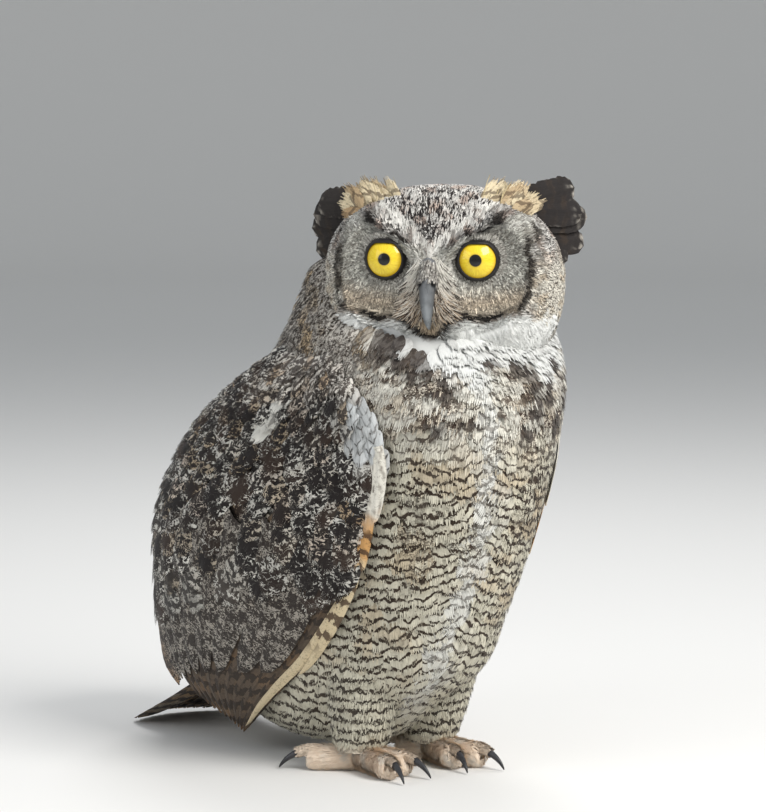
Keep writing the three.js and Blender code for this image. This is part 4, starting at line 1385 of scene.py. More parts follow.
seat = (np.repeat(np.linspace(0.04, 0.93, TAIL_PAIRS), 2) * np.tile([1, -1], TAIL_PAIRS))[:, None]
t = np.linspace(0.12, 1, TAIL_ROWS)[None]
half_fan = (31 + 13 * t ** 0.7) - 7
forward = TAIL_ROOT_FORWARD + (TAIL_TIP_FORWARD - TAIL_ROOT_FORWARD) * t + 13 * t * seat ** 2
up = tail_height(t, seat) + 2.4 + 3.2 * (1 - t) - 3.2 * np.abs(seat) * (0.35 + 0.65 * (1 - t))
spine = vectors(seat * half_fan, -forward, np.maximum(up, 1.6)) * MM
flat = np.zeros(spine.shape[:2])
tail_vanes = vane(None, spine, vectors(flat + 1, 0, 0), flat + 12 * MM, TAIL_ROWS, 11, flat, cup=0.9 * MM)
tail_vanes["points"][..., 2] = np.maximum(tail_vanes["points"][..., 2], 0.4 * MM)
phase = phase_of(tail_vanes, 17 * MM, cusp=0.2, own=1.0)
tail_group = (tail_vanes, tail_marks(tail_vanes["points"]), phase, vane_map(tail_vanes))
coat("tail_feathers", "mantle", [tail_group], replaced=["tail"])


# %% Cover its root
class TailSheet:
    """The tail's upper face as a form, for the coverts that hide the roots of its feathers."""

    def drop(self, p, lift=0):
        """Points p moved straight up or down onto the sheet and up by lift; and one normal for all."""
        along = np.clip((TAIL_ROOT_FORWARD + p[..., 1] / MM) / (TAIL_ROOT_FORWARD - TAIL_TIP_FORWARD), 0, 1)
        across = np.clip(p[..., 0] / (38 * MM), -1, 1)
        top = tail_height(along, across) + 4 + 9 * (1 - along)
        normal = np.broadcast_to(unit(np.array([0, 0.45, 1.0])), p.shape)
        return vectors(p[..., 0], p[..., 1], top * MM + np.asarray(lift)), normal


tail_form = TailSheet()
root = vectors(chances.uniform(-34, 34, 700), chances.uniform(10, 88, 700), 0) * MM
root = tail_form.drop(root[thin_out(root, 7 * MM)])[0]
wish = vectors(0.3 * root[:, 0] / (38 * MM), 1, -0.5)
stroke = lay(tail_form, root, wish, 32 * MM)
coverts = comb(tail_form, root, stroke, 20 * MM, 13, 5, depth=6 * MM, camber=1.5 * MM)
map_places = vectors(0.5 + root[:, 0] / 0.1, root[:, 1] / 0.12)
phase = phase_of(coverts, 8 * MM, cusp=0.8, own=1.0)
covert_marks = tail_marks(root + 0.6 * stroke)
coat("tail_coverts", "mantle", [(coverts, covert_marks, phase, patches(coverts, map_places, 0.03))])

# %% [markdown]
# ## Legs and toes
#
# A great horned owl is feathered to its claws. The legs wear short, soft, cream feathers with thin bars, and
# the toes a dense buff down, like velvet. Down is made of pairs of tapering locks, the smallest in the coat.

# %% Feather the legs and toes
LOWEST_DOWN = 0.15 * MM


def rod_roots(rod, spacing, tries=10):
    """Random roots round a rod, about one to each cube of side spacing."""
    count = int(tries * 2 * np.pi * rod.radius * (rod.length + 2.4 * rod.radius) / spacing ** 2)
    along = chances.uniform(-0.4 * rod.radius, rod.length + 2 * rod.radius, count)
    around = unit(np.cross(chances.normal(size=(count, 3)), rod.axis))
    past = np.clip(along - rod.length, 0, None)[:, None] * rod.axis
    root = rod.drop(rod.start + along[:, None] * rod.axis + around * rod.radius + past)[0]
    return root[thin_out(root, spacing)]


def leg_group(form):
    """The leg's feathers: down and a little back, and shorter where they would reach the floor."""
    root = scatter(form, (-180, 180), (24, 86), 5.5 * MM)
    wish = np.tile([0, 0.1, -1], (len(root), 1))
    stroke = lay(form, root, wish, chances.uniform(17, 23, len(root)) * MM)
    stroke *= np.minimum(1, (root[:, 2] - 9 * MM) / np.abs(stroke[:, 2]))[:, None]
    down = comb(form, root, stroke, 15 * MM, 11, 5, depth=3.5 * MM, lift=2.2 * MM,
                camber=0.8 * MM, ragged=0.1)
    unrolled = vectors(0.5 + form.angle(root) / 375, 0.05 + root[:, 2] / 0.11)
    return down, leg_marks(root + 0.6 * stroke), phase_of(down), patches(down, unrolled, 0.03)


def toe_group(rod, number):
    """One toe's down: along the toe, drooping more towards the claw, and none of it under the floor."""
    root = rod_roots(rod, 1.5 * MM)
    beyond = smooth((root - rod.start) @ rod.axis / rod.length, 0.8, 1.2)
    wish = rod.axis - (0.25 + 0.7 * beyond[:, None]) * np.array([0, 0, 1])
    stroke = lay(rod, root, wish, chances.uniform(5, 8, len(root)) * MM, 0.2)
    reach = (root + stroke - rod.start) @ rod.axis
    keep = (root[:, 2] > 1.5 * MM) & (reach < rod.length + 9 * MM)
    root, stroke = root[keep], stroke[keep]
    down = comb(rod, root, stroke, 1.4 * MM, 2, 4, depth=1.0 * MM, lift=1.5 * MM, ragged=0.25)
    down["points"][..., 2] = np.maximum(down["points"][..., 2], LOWEST_DOWN)
    along = ((root - rod.start) @ rod.axis) / rod.length
    unrolled = vectors(0.05 + 0.24 * number + 0.2 * np.clip(root[:, 2] / (20 * MM), 0, 1), along)
    return down, toe_marks(root), phase_of(down), patches(down, unrolled, 0.003)


for side in SIDES:
    groups = [leg_group(leg_forms[side])]
    groups += [toe_group(toe_forms[side, toe], number) for number, toe in enumerate(TOES)]
    coat(f"leg_down_{side}", "leg", groups)

# %% [markdown]
# ## The head
#
# The face is what makes an owl. Round each eye a disc of stiff, fine feathers spreads like the rays of a sun,
# ending at a dark rim. Bristles fan out beside the bill, a white brow climbs to each ear tuft, and small
# mottled feathers run back over the crown. They are all combs again, from one to nine locks each, laid on
# the head's form in the directions that a barber would see.

# %% Scatter roots on the head
def head_scatter(spacing, wanted, window=None, tries=12):
    """
    Random roots on the head where wanted(side, ahead, up) is true, about one to each cube of side
    spacing. The window drops most of the others sooner, by their direction from the head's middle.
    """
    direction = unit(chances.normal(size=(int(tries * 0.075 / spacing ** 2), 3)))
    if window:
        direction = direction[window(*np.moveaxis(direction, -1, 0))]
    local = head_form.surface(direction)
    local = local[wanted(*np.moveaxis(local, -1, 0))]
    keep = thin_out(from_head(local), spacing)
    return from_head(local)[keep], local[keep]


def head_map(local):
    """A point's place on the unrolled head: its direction round the head, and its height."""
    turn = np.arctan2(local[:, 0], local[:, 1]) / (2 * np.pi) + 0.5
    return vectors(0.02 + 0.96 * turn, 0.05 + (local[:, 2] + 64) / 140)


def head_group(root, local, wish, length, width, locks, rows, map_size=0.003, tone=0.12, spacing=4.5 * MM,
               stray=0.1, **shape):
    """Feathers of the head with their markings; tone is how much their brightness differs."""
    size = chances.uniform(0.85, 1.15, len(root))
    stroke = lay(head_form, root, wish @ head_axes, length * size, stray)
    feathers = comb(head_form, root, stroke, width * size, locks, rows, **shape)
    marks = head_marks(root + 0.45 * stroke)
    marks["ground"] = marks["ground"] * chances.uniform(1 - tone, 1 + tone, (len(root), 1))
    phase = phase_of(feathers, spacing, own=0.5) + per_feather(chances.random(len(root)))
    return feathers, marks, phase, patches(feathers, head_map(local), map_size)


# %% Crown, nape and chin
def on_crown(side, ahead, up):
    """True above the brow's crest in front, and above the cheeks' top elsewhere."""
    return (up > np.where(ahead > 6, brow_line(np.abs(side)) + 1, 12)) & (up > 5) & (ahead > -34)


def on_nape(side, ahead, up):
    """True behind the crown and on the sides of the head, down to the neck."""
    return (up > -44) & ((ahead < -20) | (np.abs(side) > 66)) & ~((up > 14) & (ahead > -30))


def on_chin(side, ahead, up):
    """True in front, below the frown."""
    return (ahead > -16) & (up < frown_line(np.abs(side)) - 1) & (up > -56)


root, local = head_scatter(2.9 * MM, on_crown)
rise = smooth(local[:, 1], 6, 34) * 1.2 - 0.3 * smooth(-local[:, 1], 10, 40)
feathers, marks, phase, places = head_group(
    root, local, vectors(0.012 * local[:, 0], -1, rise), 13 * MM, 6.5 * MM, 7, 4, map_size=0.006, tone=0.2,
    spacing=3.8 * MM, depth=3 * MM, camber=0.7 * MM, ragged=0.05)
root, local = head_scatter(4.4 * MM, on_nape)
backwards = vectors(0.004 * local[:, 0], -0.5, -1.1 + 0.5 * smooth(local[:, 2], 20, 50))
nape = head_group(root, local, backwards, 20 * MM, 12 * MM, 9, 5, map_size=0.01, depth=4.5 * MM,
                  camber=0.8 * MM)
crown = (feathers, with_hearts(feathers, marks, 0.5, where=0.6), phase, places)
coat("crown_feathers", "face", [crown], crown_plumage)
coat("nape_feathers", "mantle", [nape])

root, local = head_scatter(3.2 * MM, on_chin)
downwards = vectors(0.014 * local[:, 0], 0.15, -1)
chin = head_group(root, local, downwards, 16 * MM, 6 * MM, 7, 5, map_size=0.01, tone=0.06,
                  stray=0.2, depth=2 * MM, lift=2 * MM, camber=0.5 * MM, ragged=0.18)
coat("chin_feathers", "breast", [chin])

# %% Facial discs
def in_disc(side, ahead, up, sign):
    """True on one side's disc: in front, below the brow, above the frown, inside the rim, off the eye."""
    across = sign * side
    away = np.hypot(across - EYE_SIDE, up - EYE_UP)
    below_brow = up < brow_line(across) - 1
    above_frown = up > frown_line(np.abs(across)) - 2
    return (ahead > -4) & (across > -1) & (across < 70) & below_brow & above_frown & (away > 13.8)


def disc_wish(local, sign):
    """Away from the eye; below it the rays droop, and near the bill they turn down beside it."""
    across, up = sign * local[:, 0], local[:, 2]
    away = unit(vectors(across - EYE_SIDE, up - EYE_UP))
    inner = bell(np.clip(across - 4, 0, 60), 17) * smooth(-up, -22, 2)
    down = vectors(0.5 * smooth(across, 2, 22), -1)
    way = away * (1 - inner[:, None]) + down * inner[:, None]
    return vectors(sign * way[:, 0], -0.15, way[:, 1] - 0.25 * (1 - smooth(up, -10, 15)))


for side, sign in SIDES.items():
    root, local = head_scatter(1.05 * MM, lambda s, f, u: in_disc(s, f, u, sign),
                               window=lambda s, f, u: (f > -0.15) & (s * sign > -0.1))
    rays = head_group(root, local, disc_wish(local, sign), 8.5 * MM, 0.85 * MM, 1, 4, tone=0.5, stray=0.16,
                      spacing=3.2 * MM, depth=1.4 * MM, lift=0.8 * MM, ragged=0.25)
    coat(f"face_disc_{side}", "face", [rays], face_plumage)


# %% Brows, rim of the disc and frown
def near_brow(side, ahead, up):
    """True in a band along each brow's crest."""
    return (ahead > 2) & (np.abs(side) < 60) & (np.abs(up - brow_line(np.abs(side)) + 0.5) < 6)


def near_rim(side, ahead, up):
    """True in a band round each disc and on the cheek beside it."""
    across = np.abs(side)
    outside = rim_distance(across, up)
    rim = (outside > -5) & (outside < 11) & (across > 38)
    between = (up > frown_line(across) - 6) & (up < brow_line(across) - 3)
    return (ahead > -24) & (rim | (across > 60)) & between


def near_frown(side, ahead, up):
    """True in a band along the frown."""
    return (ahead > -4) & (np.abs(side) < 60) & (np.abs(up - frown_line(np.abs(side)) + 1) < 5)


root, local = head_scatter(1.5 * MM, near_brow, window=lambda s, f, u: (f > -0.1) & (u > -0.1))
brows = head_group(root, local, vectors(np.sign(local[:, 0]), -0.3, 0.75), 10 * MM, 1.1 * MM, 1, 4, tone=0.25,
                   stray=0.2, depth=1.5 * MM, lift=1.6 * MM, ragged=0.25)

root, local = head_scatter(2.0 * MM, near_rim, window=lambda s, f, u: f > -0.35)
away = vectors(local[:, 0] - np.sign(local[:, 0]) * EYE_SIDE, -22, local[:, 2] - EYE_UP - 8)
rim = head_group(root, local, away, 11 * MM, 3 * MM, 4, 4, tone=0.25, depth=2 * MM, lift=1.0 * MM,
                 ragged=0.15)

root, local = head_scatter(1.5 * MM, near_frown, window=lambda s, f, u: (f > -0.2) & (u < 0))
across = np.abs(local[:, 0])
slope = (frown_line(across + 2) - frown_line(across - 2)) / 4
outward = vectors(np.sign(local[:, 0]), -0.3, slope - 0.15 - 0.5 * bell(across, 5))
frown = head_group(root, local, outward, 9 * MM, 1.0 * MM, 1, 4, tone=0.35, stray=0.16, depth=1.2 * MM,
                   lift=3.2 * MM, ragged=0.25)
coat("brows_and_rim", "face", [brows, rim, frown], face_plumage)

# %% Bristles beside the bill
BRISTLES = 1800    # on each side
BRISTLE_ROOTS = {"inner": 1.5, "spread": 13, "top": 19, "fall": 34}    # mm from the bill's middle


def bristle_group(sign):
    """Hairs rooted beside the bill that curve down and away from it, the outer ones more."""
    down = chances.random(BRISTLES)
    off = BRISTLE_ROOTS["spread"] * chances.random(BRISTLES) * (0.35 + 0.65 * down)
    across = BRISTLE_ROOTS["inner"] + off
    up = BRISTLE_ROOTS["top"] - BRISTLE_ROOTS["fall"] * down
    local = head_form.surface(unit(vectors(sign * across, 46, up)))
    root = from_head(local)
    fan = across / (BRISTLE_ROOTS["inner"] + BRISTLE_ROOTS["spread"])
    wish = vectors(sign * (0.05 + 1.3 * fan ** 1.2), -0.1, -1)
    stroke = unit(wish + chances.normal(0, 0.16, wish.shape)) @ head_axes
    stroke *= (6 + 12 * chances.random(BRISTLES) ** 1.3 * (1 - 0.5 * down))[:, None] * MM
    facing = np.tile(unit(np.array([0.35 * sign, 1, 0.25])) @ head_axes, (BRISTLES, 1))
    hairs = comb(None, root, stroke, 0.36 * MM, 1, 5, depth=-0.8 * MM, lift=1.8 * MM, ragged=0.3,
                 bend=sign * 0.16 * fan, facing=facing)
    worn = smooth(down, 0.1, 0.9) * chances.random(BRISTLES) ** 0.5
    pale = mix(paint(226, 222, 212), paint(168, 146, 120), worn)
    ground = mix(pale, paint(64, 54, 48), (chances.random(BRISTLES) > 0.85 - 0.3 * down ** 3) * 1.0)
    return hairs, answer(root, ground, SOOT), phase_of(hairs), patches(hairs, head_map(local), 0.003)


coat("bill_bristles", "face", [bristle_group(sign) for sign in (1, -1)], face_plumage)

# %% [markdown]
# ## Ear tufts
#
# The tufts are not ears but loose feathers that an owl raises when it is alert. Here they are blown half
# flat, outwards and back: broad black-brown feathers with rounded tips, paler here and there at the rim, a
# pad of banded cream feathers before them that reaches up to their tops, and a few loose hairs.

# %% Raise the tufts
TUFT_ROOT = np.array([40, 14, 47.0])
TUFT_LENGTH = 62
TUFT_LIFT = {"left": 13, "right": 6}    # how high the top feather of each tuft points, in degrees


def tuft_aims(sign, lift, roots):
    """Where free feathers start, point (lift is in degrees above level) and face."""
    lift = np.radians(lift)
    aim = unit(vectors(0.9 * sign * np.cos(lift), -0.43 * np.cos(lift), np.sin(lift)))
    facing = square_to(np.array([0.43 * sign, 0.9, 0.1]), aim)
    return from_head(roots * [sign, 1, 1]), aim @ head_axes, facing @ head_axes


def tuft_vanes(sign, top_lift, rows=34, columns=15, count=6, width=21):
    """Broad free feathers with rounded tips, a slight droop, and a split here and there in their rims."""
    share = np.linspace(0, 1, count)
    lift = top_lift - 52 * share + chances.normal(0, 1.5, count)
    length = TUFT_LENGTH * (0.86 + 0.18 * np.sin(np.pi * share) - 0.1 * share)
    length = length * chances.uniform(0.94, 1.0, count)
    roots = TUFT_ROOT + vectors(-2 * share, -5 * share + chances.uniform(-2, 2, count), 3 - 12 * share)
    root, aim, facing = tuft_aims(sign, lift, roots)
    t = np.linspace(0, 1, rows)[None]
    aside = np.cross(aim, facing)
    stroke = (length * MM)[:, None] * aim
    droop = (chances.normal(0, 2.2, (count, 1)) * MM * t ** 2)[..., None] * aside[:, None]
    spine = root[:, None] + t[..., None] * stroke[:, None] + droop
    half = width * MM / 2 * (0.4 + 0.6 * np.sin(np.pi * np.clip(0.05 + 0.6 * t, 0, 1)))
    above = np.linspace(0, 2, count)[:, None] * MM + 0 * t
    return vane(None, spine, np.broadcast_to(aside[:, None], spine.shape), half, rows, columns, above,
                ragged=0.07, point=11, facing=facing)


def tuft_marks(feathers):
    """Black-brown vanes, paler here and there at the very rim."""
    p = feathers["points"]
    rim = smooth(np.maximum(feathers["along"], 0.9 * np.abs(feathers["across"])), 0.86, 1.0)
    ground = mix(paint(40, 37, 37), paint(176, 170, 160), rim * dapple(p, 6, 51, 0.2, 0.8))
    return answer(p, ground, SOOT, bars=0.3, mottle=0.3, streak=0.3)


def tuft_map(root):
    """A place for the pads and hairs in the corner of the map that the vanes leave free."""
    return 0.6 * head_map(to_head(root))


def tuft_pad(sign, top_lift, count=72):
    """Banded cream feathers before the vanes, each rooted and aimed at random."""
    share = chances.random(count)
    lift = top_lift + 46 - 50 * share + chances.normal(0, 5, count)
    roots = TUFT_ROOT + vectors(chances.uniform(-15, 10, count), chances.uniform(1, 8, count),
                                chances.uniform(0, 5, count) - 3 * share)
    root, aim, facing = tuft_aims(sign, lift, roots)
    pad = comb(None, root, aim * chances.uniform(12, 25, (count, 1)) * MM, 8 * MM, 13, 6, facing=facing,
               depth=0.5 * MM, camber=0.9 * MM, ragged=0.1, rounding=0.3)
    ground = mix(paint(232, 216, 182), paint(176, 148, 112), chances.random(count) ** 2)
    marks = answer(root, ground, BARK, bars=0.7, edge=0.55, mottle=0.3)
    return pad, marks, patches(pad, tuft_map(root), 0.02)


def tuft_wisps(sign, count=50):
    """Loose pale hairs that stand up from the pad."""
    roots = TUFT_ROOT + vectors(chances.uniform(-15, 2, count), chances.uniform(1, 8, count),
                                chances.uniform(0, 6, count))
    root, aim, facing = tuft_aims(sign, chances.uniform(35, 85, count), roots)
    wisps = comb(None, root, aim * chances.uniform(9, 20, (count, 1)) * MM, 0.4 * MM, 1, 6, facing=facing,
                 depth=0.0, lift=0.5 * MM, ragged=0.3, bend=-sign * 0.15)
    return wisps, answer(root, paint(206, 188, 146)), patches(wisps, tuft_map(root), 0.003)


for side, sign in SIDES.items():
    dark = tuft_vanes(sign, TUFT_LIFT[side])
    pad, pad_marks, pad_places = tuft_pad(sign, TUFT_LIFT[side])
    wisps, wisp_marks, wisp_places = tuft_wisps(sign)
    coat(f"ear_tuft_feathers_{side}", "tuft", [
        (dark, tuft_marks(dark), phase_of(dark, 9 * MM, cusp=0.3, own=1.0), 0.7 + 0.28 * vane_map(dark)),
        (pad, pad_marks, phase_of(pad, 11 * MM, cusp=0.4, own=1.0), pad_places),
        (wisps, wisp_marks, phase_of(wisps), wisp_places)], replaced=[f"ear_tuft_{side}"])

# %% [markdown]
# ## Eyes
#
# An owl's eye is a deep tube with a great round cornea. What shows is a yellow iris with a black pupil under
# a wet, bulging surface, inside a thin black lid. The ball is a surface of revolution, a little more curved
# over the iris, and its colours are drawn from the distance to its axis. The lid is a ring whose inner edge
# follows the iris, except above, where it cuts straight across and gives the owl its stern look.

# %% Shape the eyeballs
EYE_TURNS = full_turn(72)
EYE_RINGS = EYE_RADIUS * np.sin(np.linspace(0.001, np.pi / 2, 44))
PUPIL_RADIUS, IRIS_RADIUS = 4.0, 12.3
PUPIL_INWARD = 1.4    # the pupil lies this far towards the bill


def eye_axes(sign):
    """Right, up and forward of an eye, in the owl's frame, turned outwards by the splay."""
    forward = np.array([sign * np.sin(EYE_SPLAY), np.cos(EYE_SPLAY), 0])
    right = np.array([np.cos(EYE_SPLAY), -sign * np.sin(EYE_SPLAY), 0])
    return np.stack([right, [0, 0, 1.0], forward]) @ head_axes


def eye_point(sign, radius, angle, forward):
    """A point in mm from the eye's middle by its distance from the axis and its angle, in the owl's frame."""
    middle = from_head(np.array([sign * EYE_SIDE, EYE_FORWARD, EYE_UP]))
    return middle + vectors(radius * np.cos(angle), radius * np.sin(angle), forward) * MM @ eye_axes(sign)


def eye_depth(radius):
    """How far the ball stands forward at a distance from its axis: a sphere with a corneal bulge."""
    return np.sqrt(np.clip(EYE_RADIUS ** 2 - radius ** 2, 0, None)) + 0.9 * bell(radius, 9)


def iris_material():
    """Yellow rays round a black pupil, dark at the iris's edge, under a clear wet coat."""
    n = Nodes("iris", roughness=0.5, specular=0.2)
    r, angle, from_pupil = n.attribute("from_axis"), n.attribute("angle"), n.attribute("from_pupil")
    ring = [n.product(n.math(wave, angle), 9.0) for wave in ("COSINE", "SINE")]
    rays = n.noise(n.place(*ring, n.product(r, 0.16)), 2.2, 4)
    colour = n.blend(n.between(rays, 0.3, 0.75), paint(240, 214, 50), paint(222, 186, 34))
    colour = n.blend(n.between(r, 9.0, IRIS_RADIUS + 0.3), colour, paint(196, 152, 26))
    collar = n.between(from_pupil, PUPIL_RADIUS + 1.4, PUPIL_RADIUS, 0.0, 0.55)
    colour = n.blend(collar, colour, paint(176, 146, 50))
    colour = n.blend(n.between(r, IRIS_RADIUS - 0.4, IRIS_RADIUS + 0.4), colour, paint(26, 18, 14))
    colour = n.blend(n.between(from_pupil, PUPIL_RADIUS - 0.2, PUPIL_RADIUS + 0.15), paint(4, 4, 6), colour)
    n.plug(n.shader.inputs["Base Color"], colour)
    n.shader.inputs["Coat Weight"].default_value = 0.7
    n.shader.inputs["Coat Roughness"].default_value = 0.02
    return n.material


iris = iris_material()
for side, sign in SIDES.items():
    r, angle = grid_of(EYE_RINGS, EYE_TURNS)
    ball = mesh_object(f"eyeball_{side}", *closed_tube(eye_point(sign, r, angle, eye_depth(r))), iris)
    radius = np.repeat([0, *EYE_RINGS, 20], len(EYE_TURNS))    # 20 keeps the ball's back dark
    turn = np.tile(EYE_TURNS, len(EYE_RINGS) + 2)
    store(ball.data, "from_axis", radius)
    store(ball.data, "angle", turn)
    from_pupil = np.hypot(radius * np.cos(turn) + PUPIL_INWARD * sign, radius * np.sin(turn))
    store(ball.data, "from_pupil", from_pupil)
    dress(ball, "iris", f"eye_{side}")


# %% Lids
LID_OPENING, LID_CUT = 12.1, 10.6
LID_OUTER = 13.9
BALL_EDGE = 15.5    # past this distance from the axis the lid leaves the ball


def lid_opening(angle):
    """The lid's inner radius in mm: round below, cut by a nearly straight line above."""
    above = LID_CUT / np.clip(np.sin(angle), 0.05, None)
    straight = np.where(np.sin(angle) > 0, above, 99)
    return -np.logaddexp(-3 * np.minimum(straight, 40), -3 * LID_OPENING) / 3


def lid(sign, columns=96, rows=12):
    """A ring that rises from the ball's surface, rolls over a soft rim and falls back towards the face."""
    across, angle = grid_of(np.linspace(0, 1, rows), full_turn(columns))
    inner = lid_opening(angle)
    r = inner + (LID_OUTER + 0.5 * np.cos(2 * angle) - inner) * across
    rim = 1.0 * np.sin(np.pi * np.clip(across * 2.2, 0, 1)) * (1 - across)
    upper = 0.9 * smooth(np.sin(angle), 0.1, 0.9) * (1 - across)
    depth = eye_depth(np.minimum(r, BALL_EDGE)) - 0.35 * np.clip(r - BALL_EDGE, 0, None) + 0.12 + rim + upper
    wrinkle = 0.12 * np.sin(9 * np.pi * across) * across
    return eye_point(sign, r, angle, depth + wrinkle)


def lid_material():
    """Black skin with a fine grain."""
    n = Nodes("lid", roughness=0.5, specular=0.4)
    grain = n.noise(n.object_place(), 900, 3)
    n.plug(n.shader.inputs["Base Color"], n.blend(grain, paint(14, 12, 13), paint(34, 30, 30)))
    n.bump(grain, 0.4, 0.0004)
    return n.material


lid_skin = lid_material()
for side, sign in SIDES.items():
    grid = lid(sign)
    ring = mesh_object(f"lid_{side}", grid.reshape(-1, 3), grid_faces(*grid.shape[:2], wrap=True), lid_skin)
    thick = ring.modifiers.new("thickness", "SOLIDIFY")
    thick.thickness, thick.offset = 0.5 * MM, -1
    dress(ring, "face")

# %% Short feathers round the lids
def fringe_group(sign, count=1300):
    """Hairs that stand out from the lid like the rays of the disc, black at the opening and grey outside."""
    angle = chances.uniform(0, 2 * np.pi, count)
    off = chances.uniform(1.2, 4.2, count)
    r = lid_opening(angle) + off
    root = eye_point(sign, r, angle, eye_depth(np.minimum(r, BALL_EDGE)) + 0.1)
    out = vectors(np.cos(angle), np.sin(angle), -0.25) @ eye_axes(sign)
    facing = square_to(eye_axes(sign)[2], out)
    length = (1.5 + 2.7 * smooth(off, 1.6, 3.4))[:, None] * MM
    fringe = comb(None, root, unit(out + chances.normal(0, 0.2, out.shape)) * length, 0.5 * MM, 1, 4,
                  depth=0.0, lift=0.2 * MM, ragged=0.3, facing=facing)
    ground = mix(paint(96, 92, 86), paint(206, 203, 194), chances.random(count) ** 0.7)
    ground = mix(ground, SOOT, 0.9 * (1 - smooth(off + chances.normal(0, 0.3, count), 1.3, 2.0)))
    places = patches(fringe, head_map(to_head(root)), 0.003)
    return fringe, answer(root, ground, SOOT), phase_of(fringe), places


coat("lid_fringe", "face", [fringe_group(sign) for sign in (1, -1)])

# %% [markdown]
# ## Bill and claws
#
# Bill and claws are horn: dark, smooth, and a little worn towards the tip. Each is a tube whose middle
# follows an arc and whose section shrinks to a point, exactly as in the solids, but with many more rows, a
# keel on the bill's ridge, and a nostril pressed into each side of the soft cere at its root.

# %% Shape the bill
BILL_LENGTH, BILL_FORWARD, BILL_UP = 45.5, 52, 12
BILL_SLOPES = np.radians([35, 145])
RIGHTWARDS = np.array([-1.0, 0, 0])


def horn(middle, across, half_width, half_depth, columns=40, keel=0.0):
    """A tube of ovals round a path: across is the level direction, and keel sharpens the upper side."""
    along = unit(np.gradient(middle, axis=0))
    upward = np.cross(along, across)
    angle = full_turn(columns)
    wide = np.cos(angle) * np.abs(np.cos(angle)) ** keel
    ring = wide[None, :, None] * half_width[:, None, None] * across
    ring = ring + (np.sin(angle)[None, :] * half_depth[:, None])[..., None] * upward[:, None]
    return middle[:, None] + ring


def upper_bill(rows=60, columns=40):
    """The upper bill: its middle slopes down at the face, stands furthest out halfway and hooks back; it
    comes with a painted shade for its sides and nostrils.
    """
    t = np.linspace(0, 1, rows)
    first, last = BILL_SLOPES
    slope = first + (last - first) * t
    swing = BILL_LENGTH / (last - first)
    forward = BILL_FORWARD + swing * (np.sin(slope) - np.sin(first))
    up = BILL_UP - swing * (np.cos(first) - np.cos(slope))
    taper = np.clip(1 - t ** 2.2, 0, 1) ** 0.8
    middle = vectors(0, forward, up)
    grid = horn(middle, RIGHTWARDS, 0.35 + 6 * taper * (1 - 0.25 * t), 0.35 + 8.5 * taper, columns, keel=0.18)
    t, angle = grid_of(t, full_turn(columns))
    beside = np.abs(np.cos(angle))
    nostril = bell(t - 0.3, 0.04) * bell(np.sin(angle) - 0.55, 0.3) * beside
    nostril = nostril * smooth(np.sin(angle), -0.2, 0.5)
    cere = 0.7 * (1 - smooth(t, 0.32, 0.38))
    grid = middle[:, None] + (grid - middle[:, None]) * (1 + (cere - 3.2 * nostril)[..., None] / 9)
    # painted shade: darkest in the nostril pits, dark on the bill's sides, light along the ridge where the
    # light falls
    return grid, np.maximum(1.4 * nostril, 0.6 * beside ** 1.5 * (1 - 0.6 * t))


def lower_bill(rows=30):
    """The lower bill: a short tapering tube under the upper one, nearly hidden by it."""
    t = np.linspace(0, 1, rows)
    taper = np.clip(1 - t ** 1.8, 0, 1) ** 0.7
    middle = vectors(0, BILL_FORWARD - 12 + 14 * t, -17 - 4 * t ** 2)
    return horn(middle, RIGHTWARDS, 0.5 + 5.4 * taper, 0.5 + 4 * taper)


def horn_material(name, root_colour, tip_colour):
    """Horn that darkens or pales from root to tip, cloudy, with a painted shade wherever the mesh carries
    one, and a lengthwise grain.
    """
    n = Nodes(name, roughness=0.34, specular=0.5)
    along, place = n.attribute("along"), n.object_place()
    grain = n.noise(n.stretch(place, (1, 1, 0.35)), 420, 4)
    cloud = n.noise(place, 120, 3)
    colour = n.blend(n.between(along, 0.15, 0.95), root_colour, tip_colour)
    colour = n.blend(n.between(cloud, 0.3, 0.75, 0.0, 0.5), colour, paint(38, 38, 42))
    # painted shade on the bill's sides and in its nostrils darkens the horn's colour
    colour = n.blend(n.product(n.attribute("painted_shade"), 0.95), colour, paint(10, 9, 9))
    n.plug(n.shader.inputs["Base Color"], colour)
    n.plug(n.shader.inputs["Roughness"], n.between(grain, 0.3, 0.7, 0.26, 0.46))
    n.bump(grain, 0.25, 0.0003)
    return n.material


def horn_piece(name, grid, material, replaced, painted_shade=0.0):
    """A closed horn with how far along it each vertex lies, for the colour, and how much painted shade it
    carries there.
    """
    points, faces = closed_tube(grid)
    piece = mesh_object(name, points, faces, material)
    rows, columns = grid.shape[:2]
    store(piece.data, "along", np.repeat(np.linspace(0, 1, rows)[[0, *range(rows), -1]], columns))
    inner = np.zeros((rows + 2, columns))
    inner[1:-1] = painted_shade
    store(piece.data, "painted_shade", inner.ravel())
    dress(piece, "horn", replaced)


bill_horn = horn_material("bill_horn", paint(112, 114, 116), paint(140, 146, 150))
claw_horn = horn_material("claw_horn", paint(70, 70, 74), paint(22, 22, 26))
grid, painted_shade = upper_bill()
bill_grid = from_head(grid)
horn_piece("upper_bill", bill_grid, bill_horn, "bill_upper", np.clip(painted_shade, 0, 1))
horn_piece("lower_bill", from_head(lower_bill()), bill_horn, "bill_lower")

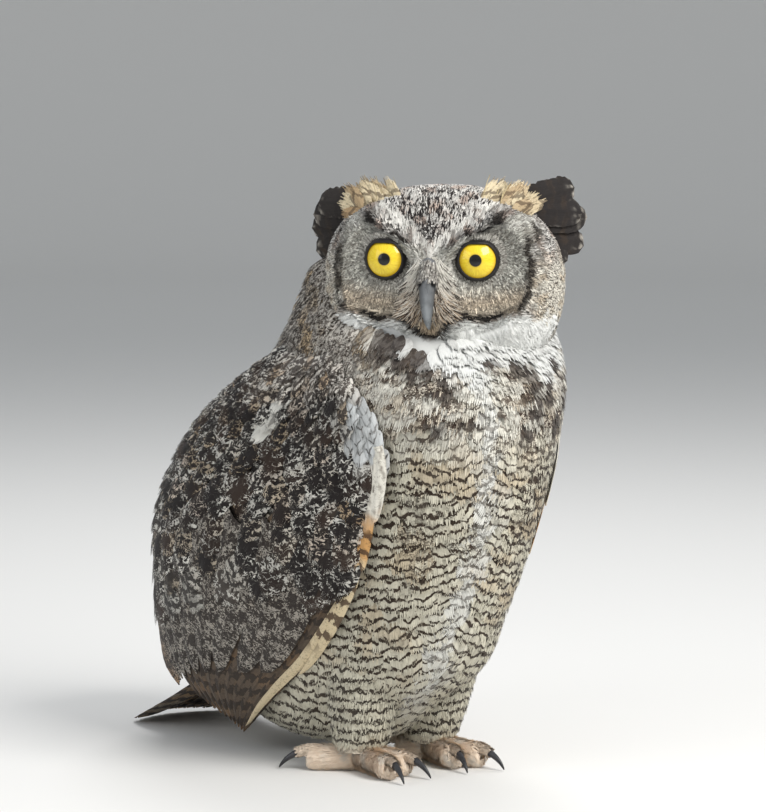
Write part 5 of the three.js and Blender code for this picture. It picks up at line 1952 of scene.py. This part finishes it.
# %% Feathers that creep over the horn
def horn_cuff(grid, last, count, length, width, colours, local_map):
    """Short hairs lying along a horn; last is the share of its rows that they are rooted in."""
    row = (chances.random(count) ** 0.8 * last * (len(grid) - 5)).astype(int)
    column = chances.integers(0, grid.shape[1], count)
    root = grid[row, column]
    facing = unit(root - grid.mean(axis=1)[row])
    ahead = square_to(unit(grid[row + 4, column] - root + chances.normal(0, 0.25 * MM, root.shape)), facing)
    stroke = ahead * chances.uniform(0.6, 1.2, (count, 1)) * length
    hairs = comb(None, root, stroke, width, 1, 5, depth=0.2 * MM, lift=0.9 * MM, ragged=0.3, facing=facing)
    ground = mix(colours[0], colours[1], chances.random(count))
    return hairs, answer(root, ground, SOOT), phase_of(hairs), patches(hairs, local_map(root), 0.003)


cere = horn_cuff(bill_grid, 0.22, 900, 8 * MM, 0.7 * MM, (paint(104, 99, 94), paint(206, 202, 194)),
                 lambda root: head_map(to_head(root)))
coat("cere_bristles", "face", [cere], face_plumage)

# %% Curve the claws
CLAW_LENGTH, CLAW_RADIUS, CLAW_TIP, CLAW_DROP = 33, 3.3, 0.3, np.radians(68)


def claw(sign, degrees, toe_length, rows=30):
    """A claw that leaves its toe level and curves down until its tip is just clear of the floor."""
    t = np.linspace(0, 1, rows)
    ankle, aim = toe_line(sign, degrees)
    swing = CLAW_LENGTH / CLAW_DROP
    out = toe_length - 8 + swing * np.sin(CLAW_DROP * t)
    fall = swing * (1 - np.cos(CLAW_DROP * t))
    up = 1.1 + (swing * (1 - np.cos(CLAW_DROP)) - fall) * 0.72
    middle = (ankle + out[:, None] * aim + up[:, None] * np.array([0, 0, 1])) * MM
    radius = (CLAW_TIP + (CLAW_RADIUS - CLAW_TIP) * (1 - t) ** 0.75) * MM
    return horn(middle, unit(np.cross(aim, [0, 0, 1.0])), radius, radius * 1.1, 24, 0.1)


for side, sign in SIDES.items():
    cuffs = []
    for number, (toe, (degrees, toe_length)) in enumerate(TOES.items()):
        grid = claw(sign, degrees, toe_length)
        horn_piece(f"talon_{side}_{toe}", grid, claw_horn, f"claw_{side}_{toe}")
        cuffs.append(horn_cuff(grid, 0.36, 700, 6 * MM, 1.1 * MM, (TOE, mix(TOE, BARK, 0.3)),
                               lambda root: vectors(0.1 + 0.24 * number, 0.9 + root[:, 2])))
    coat(f"claw_cuffs_{side}", "leg", cuffs, face_plumage)
